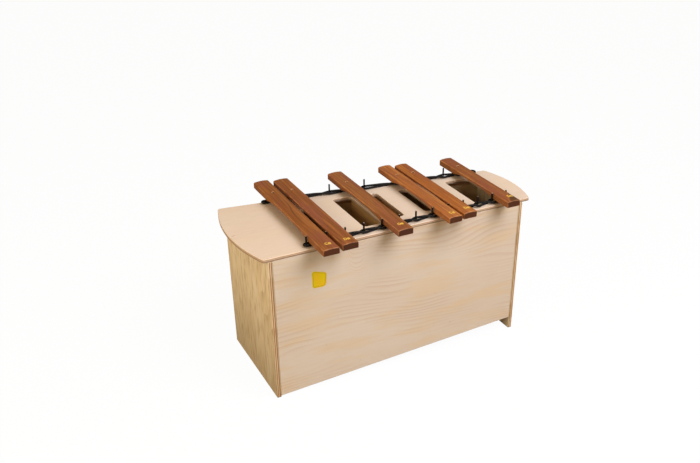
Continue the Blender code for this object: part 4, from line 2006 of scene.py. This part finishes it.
        # Layer for paler wood: bare wood and wear, plus painted highlight on the bore and rounded edges.
        wear_and_highlight = np.zeros((index.size + inner.size, 3))
        wear_and_highlight[inner[3:-2], 0] = 1
        rounded = (inset > 0) & (inset < 0.9 * self.end_round)
        rubbed_and_highlight = np.maximum(worn, self.end_wear_and_highlight * rounded[:, None])
        rubbed_and_highlight[[0, -1]] = 0
        wear_and_highlight[: index.size, 1] = rubbed_and_highlight.ravel()
        faces = [quads[kept], tunnel, index[:1], index[-1:, ::-1]]
        return Surface(np.vstack([points.reshape(-1, 3), rings]), faces, {"wear_and_highlight": wear_and_highlight})

    def foil(self) -> Surface:
        """The note mark laid on the crown: each point keeps its height over the crown below it.

        Returns:
            The mark's skin.
        """
        mark = self.mark
        flat, triangles = mark.flat()
        points = flat * (mark.width, mark.length, mark.thickness)
        points[:, :2] += mark.place
        crown = self.top(points[:, 0] - self.axis[0])
        points[:, 2] += self.low[2] + crown + mark.lift * mark.thickness
        return Surface(points, [triangles])

    def build(self, foil: Material) -> None:
        """Makes the bar and its mark.

        Args:
            foil: Finish of the mark.
        """
        wood = self.skin().piece(self.body + "_wood", self.finish.material())
        fit(wood, self.body, Slot.BAR, self.body + "_bar")
        fit(self.foil().piece(self.body + "_note", foil), self.body, Slot.BAR)


@dataclass
class FrontLabel:
    """A plain yellow label on the front panel.

    Attributes:
        front: Y of the panel's face.
        corners: X and Z of its corners, anticlockwise seen from the front.
        radii: Radius of each corner.
        thickness: Thickness of the label.
        rim: Width of the border in which its frame line lies.
        edge: Rounding of its edges.
    """

    front: float
    corners: tuple[Pair, ...] = (
        (-0.3269, 0.3790),
        (-0.2805, 0.3775),
        (-0.2764, 0.4270),
        (-0.3287, 0.4430),
    )
    radii: tuple[float, ...] = (0.009, 0.012, 0.011, 0.008)
    thickness: float = 0.00025
    rim: float = 0.0060
    edge: float = 0.0001

    def build(self, finish: LabelFinish) -> None:
        """Makes the label: a thin slab whose outline carries the rim.

        Args:
            finish: Its finish.
        """
        outline = filleted(np.array(self.corners), np.array(self.radii))
        sheet = slab([(outline, self.edge)], self.thickness, (0.0, 0.0), steps=2)
        count = len(outline)
        inside = outline - self.rim * mitres(outline)
        inside = np.hstack([inside, np.full((count, 1), self.thickness)])
        top = np.arange(count)
        ring = len(sheet.points) + top
        points = np.vstack([sheet.points, inside])
        fill = np.where(np.isin(sheet.faces[1], top), sheet.faces[1] + len(sheet.points), sheet.faces[1])
        faces = [sheet.faces[0], quads_of(np.vstack([ring, top])).reshape(-1, 4), fill, sheet.faces[2]]
        rim = np.ones((len(points), 3))
        rim[ring] = 0
        board = np.vstack([sheet.layers["board"], inside])
        label = Surface(points, faces, {"board": board, "rim": rim})
        label = label.placed(Facing.FRONT.value, (0, self.front, 0))
        fit(label.piece("front_label", finish.material()), BOX_BODY, Slot.PANEL)


@dataclass
class Studio:
    """Camera, lamps, white surroundings and a pale floor.

    Attributes:
        eye: Place of the camera.
        right: Direction of the image's right side.
        up: Direction of its upper side.
        focal: Focal length in pixels.
        image: Width and height of the image in pixels.
        centre: Where the camera's axis meets the image, from its upper left corner.
        key: From the middle of the bars to the main lamp.
        key_level: What the main lamp gives a white surface that faces it.
        side: Direction to the lamp at the bass end.
        side_level: What that lamp gives.
        top_level: What the lamp overhead gives.
        fill: Brightness of the surroundings.
        key_tint: Colour of the main lamp.
        side_tint: Colour of the lamp at the bass end.
        fill_tint: Colour of the light from the surroundings.
        aim: What the lamps point at.
        key_size: Side of the main lamp.
        side_reach: Distance of the lamp at the bass end.
        side_size: Side of that lamp.
        top: From the aim to the lamp overhead.
        top_size: Side of that lamp.
        floor_pale: Colour of the floor for rays that light the object.
        floor_white: Colour of the floor in view.
        floor_glow: How much of the floor in view is plain white.
        floor_reach: Half the floor's side.
    """

    eye: Triple = (-1.23798, -2.35459, 1.73355)
    right: Triple = (0.89146631, -0.4529933, -0.00921336)
    up: Triple = (0.23405887, 0.44301352, 0.86542213)
    focal: float = 854.73
    image: tuple[int, int] = (700, 463)
    centre: Pair = (360.82, 287.69)
    key: Triple = (0.97, -2.0, 2.32)
    key_level: float = 0.92
    side: Triple = (-0.90, -0.25, 0.34)
    side_level: float = 0.45
    top_level: float = 0.04
    fill: float = 0.34
    key_tint: Colour = (1.0, 1.03, 1.14, 1.0)
    side_tint: Colour = (1.0, 0.88, 0.70, 1.0)
    fill_tint: Colour = (1.0, 0.80, 0.50, 1.0)
    aim: Triple = (0, 0, 0.45)
    key_size: float = 1.9
    side_reach: float = 3.5
    side_size: float = 2.0
    top: Triple = (0.2, 0.2, 3.2)
    top_size: float = 3.0
    floor_pale: Colour = seen(174, 164, 148)
    floor_white: Colour = seen(250, 250, 250)
    floor_glow: float = 0.965
    floor_reach: float = 30.0

    def camera(self) -> None:
        """Sets the camera by the photograph's view."""
        data = bpy.data.cameras.new("camera")
        width, height = self.image
        data.sensor_fit = "HORIZONTAL"
        data.sensor_width = 36.0
        data.lens = self.focal * data.sensor_width / width
        data.shift_x = (width / 2 - self.centre[0]) / width
        data.shift_y = (self.centre[1] - height / 2) / width
        data.clip_end = 100.0
        made = bpy.data.objects.new("camera", data)
        right, up = Vector(self.right), Vector(self.up)
        turn = Matrix((right, up, right.cross(up))).transposed()
        made.matrix_world = Matrix.Translation(self.eye) @ turn.to_4x4()
        bpy.context.scene.collection.objects.link(made)
        bpy.context.scene.camera = made

    def lamp(self, name: str, away: Vector, size: float, level: float, tint: Colour = WHITE) -> None:
        """A square soft lamp.

        Its power is pi squared times the level times the distance squared, which gives that level at its aim,
        the middle of the bars.

        Args:
            name: Its name.
            away: From its aim to the lamp.
            size: Side of the lamp.
            level: Brightness of a white surface that faces it at the aim.
            tint: Its colour.
        """
        data = bpy.data.lights.new(name, "AREA")
        data.size = size
        data.color = tint[:3]
        data.energy = math.pi**2 * level * away.length_squared
        made = bpy.data.objects.new(name, data)
        turn = away.to_track_quat("Z", "Y").to_matrix().to_4x4()
        made.matrix_world = Matrix.Translation(Vector(self.aim) + away) @ turn
        bpy.context.scene.collection.objects.link(made)

    def in_view(self, tree: bpy.types.NodeTree) -> Socket:
        """1 for rays from the camera, straight or through glass, and 0 for others.

        Args:
            tree: The nodes that ask.

        Returns:
            The answer.
        """
        path = tree.nodes.new("ShaderNodeLightPath")
        larger = tree.nodes.new("ShaderNodeMath")
        larger.operation = "MAXIMUM"
        tree.links.new(path.outputs["Is Camera Ray"], larger.inputs[0])
        tree.links.new(path.outputs["Is Transmission Ray"], larger.inputs[1])
        return larger.outputs[0]

    def surroundings(self) -> None:
        """Lights the scene evenly, with white behind it."""
        world = bpy.data.worlds.new("studio")
        world.use_nodes = True
        bpy.context.scene.world = world
        tree = world.node_tree
        background = tree.nodes["Background"]
        view = self.in_view(tree)
        tint = tree.nodes.new("ShaderNodeMix")
        tint.data_type = "RGBA"
        tint.inputs[MIX_FIRST].default_value, tint.inputs[MIX_SECOND].default_value = self.fill_tint, WHITE
        tree.links.new(view, tint.inputs[MIX_SHARE])
        tree.links.new(tint.outputs[MIX_RESULT], background.inputs["Color"])
        level = tree.nodes.new("ShaderNodeMapRange")
        level.inputs["To Min"].default_value = self.fill
        tree.links.new(view, level.inputs["Value"])
        tree.links.new(level.outputs[0], background.inputs["Strength"])

    def floor(self) -> None:
        """A pale floor that looks white and still takes the object's shadow."""
        graph = NodeGraph("studio_floor")
        view = self.in_view(graph.tree)
        graph.set(base_color=graph.mix(view, self.floor_pale, self.floor_white))
        graph.set(roughness=0.9, specular_ior_level=0.0)
        glow = graph.node("Emission")
        mixed = graph.node("MixShader")
        graph.feed(mixed.inputs[0], graph.math("MULTIPLY", view, self.floor_glow))
        graph.feed(mixed.inputs[1], graph.shader.outputs[0])
        graph.feed(mixed.inputs[2], glow.outputs[0])
        graph.feed(graph.tree.nodes["Material Output"].inputs["Surface"], mixed.outputs[0])
        corners = self.floor_reach * np.array([(-1, -1, 0), (1, -1, 0), (1, 1, 0), (-1, 1, 0)])
        Surface(corners, [np.array([[0, 1, 2, 3]])]).piece("studio_floor", graph.material)

    def build(self) -> None:
        """Sets up the whole studio."""
        scene = bpy.context.scene
        scene.view_settings.view_transform = "Standard"
        self.camera()
        self.surroundings()
        self.floor()
        side = Vector(self.side).normalized() * self.side_reach
        self.lamp("key_lamp", Vector(self.key), self.key_size, self.key_level, self.key_tint)
        self.lamp("side_lamp", side, self.side_size, self.side_level, self.side_tint)
        self.lamp("top_lamp", Vector(self.top), self.top_size, self.top_level)


def bars() -> list[Bar]:
    """The six bars from bass to treble, each with its own wood.

    Returns:
        The bars.
    """
    deepest, shallowest, seed_step = 0.0140, 0.0135, 3.7
    ink, umber = seen(92, 44, 22), seen(78, 40, 22)
    swing = Figure(-0.04, 0.10, -0.005, 0.010, 0.004, 0.75, seen(98, 50, 26))
    wedge = Figure(-0.225, -0.125, -0.012, 0.027, 0.003, 0.85, seen(84, 54, 28), True)
    rows = (
        ("low_c_sharp", 1, 1, "C#", (-0.2956, -0.2570), (146, 84, 37), (170, 104, 49), ink, swing),
        ("low_d_sharp", 2, 2, "D#", (-0.2306, -0.2552), (144, 82, 40), (166, 100, 50), umber, None),
        ("low_g_sharp", 5, 4, "G#", (-0.0354, -0.2405), (142, 82, 42), (164, 102, 54), umber, None),
        ("high_c_sharp", 8, 6, "C#", (0.1513, -0.2463), (176, 103, 50), (196, 124, 62), ink, None),
        ("high_d_sharp", 9, 7, "D#", (0.2149, -0.2367), (171, 98, 42), (191, 118, 54), ink, None),
        ("high_g_sharp", 12, 9, "G#", (0.3920, -0.2254), (147, 85, 44), (167, 104, 55), ink, wedge),
    )
    made = []
    for body, slot, pin, words, place, base, light, dark, figure in rows:
        low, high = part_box(body + "_bar")
        middle = tuple((low + high) / 2)
        finish = RosewoodFinish(
            body + "_rosewood", middle, seed_step * slot, seen(*base), seen(*light), dark, figure=figure
        )
        undercut = deepest + (shallowest - deepest) * (slot - 1) / (SLOTS - 1)
        made.append(Bar(body, pin, undercut, finish, NoteMark(words, place)))
    return made


def string_cords(pins: PinRows, hooks: CordHooks) -> None:
    """Makes the front cord round the nails, and the rear cord round the pegs and the hooks.

    Args:
        pins: The nails and pegs.
        hooks: The hooks.
    """
    low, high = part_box("front_cord")
    level = (low.z + high.z) / 2
    cord = CordFinish().material()
    first, last = HOOKS
    rows = {
        "front_cord": [(node, pins.sleeve) for node in FRONT_PINS],
        "rear_cord": [(first, hooks.shank), *((node, pins.peg) for node in REAR_PINS), (last, hooks.shank)],
    }
    for name, stations in rows.items():
        places = np.array([middle_of(node) for node, _ in stations])
        grips = np.array([radius for _, radius in stations])
        SuspensionCord(name, places, grips, level).build(cord)


def main() -> None:
    """Builds the studio and the pieces in order, and reports each."""
    logging.basicConfig(level=logging.INFO, format="%(message)s")
    Studio().build()
    plan = BoxPlan()
    inside = Veneer.INSIDE.value.material()
    ends = Veneer.END.value.material()
    rubber = RubberFinish().material()
    TopPlate(plan).build(Veneer.PLATE.value)
    box = ResonatorBox(plan, tuple(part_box(node)[0].x for node in PARTITIONS))
    box.end_panels(ends)
    box.walls(Veneer.FRONT.value.material(), Veneer.BACK.value.material())
    box.floor(inside)
    box.partitions(inside)
    box.rails(HardwoodFinish().material())
    pins, hooks = PinRows(plan.top), CordHooks(plan.top)
    pins.build(Steel.NAIL.value.material(), rubber)
    hooks.build(Steel.HOOK.value.material())
    string_cords(pins, hooks)
    foil = FoilFinish().material()
    for bar in bars():
        bar.build(foil)
    FrontLabel(plan.front).build(LabelFinish())


if __name__ == "__main__":
    main()
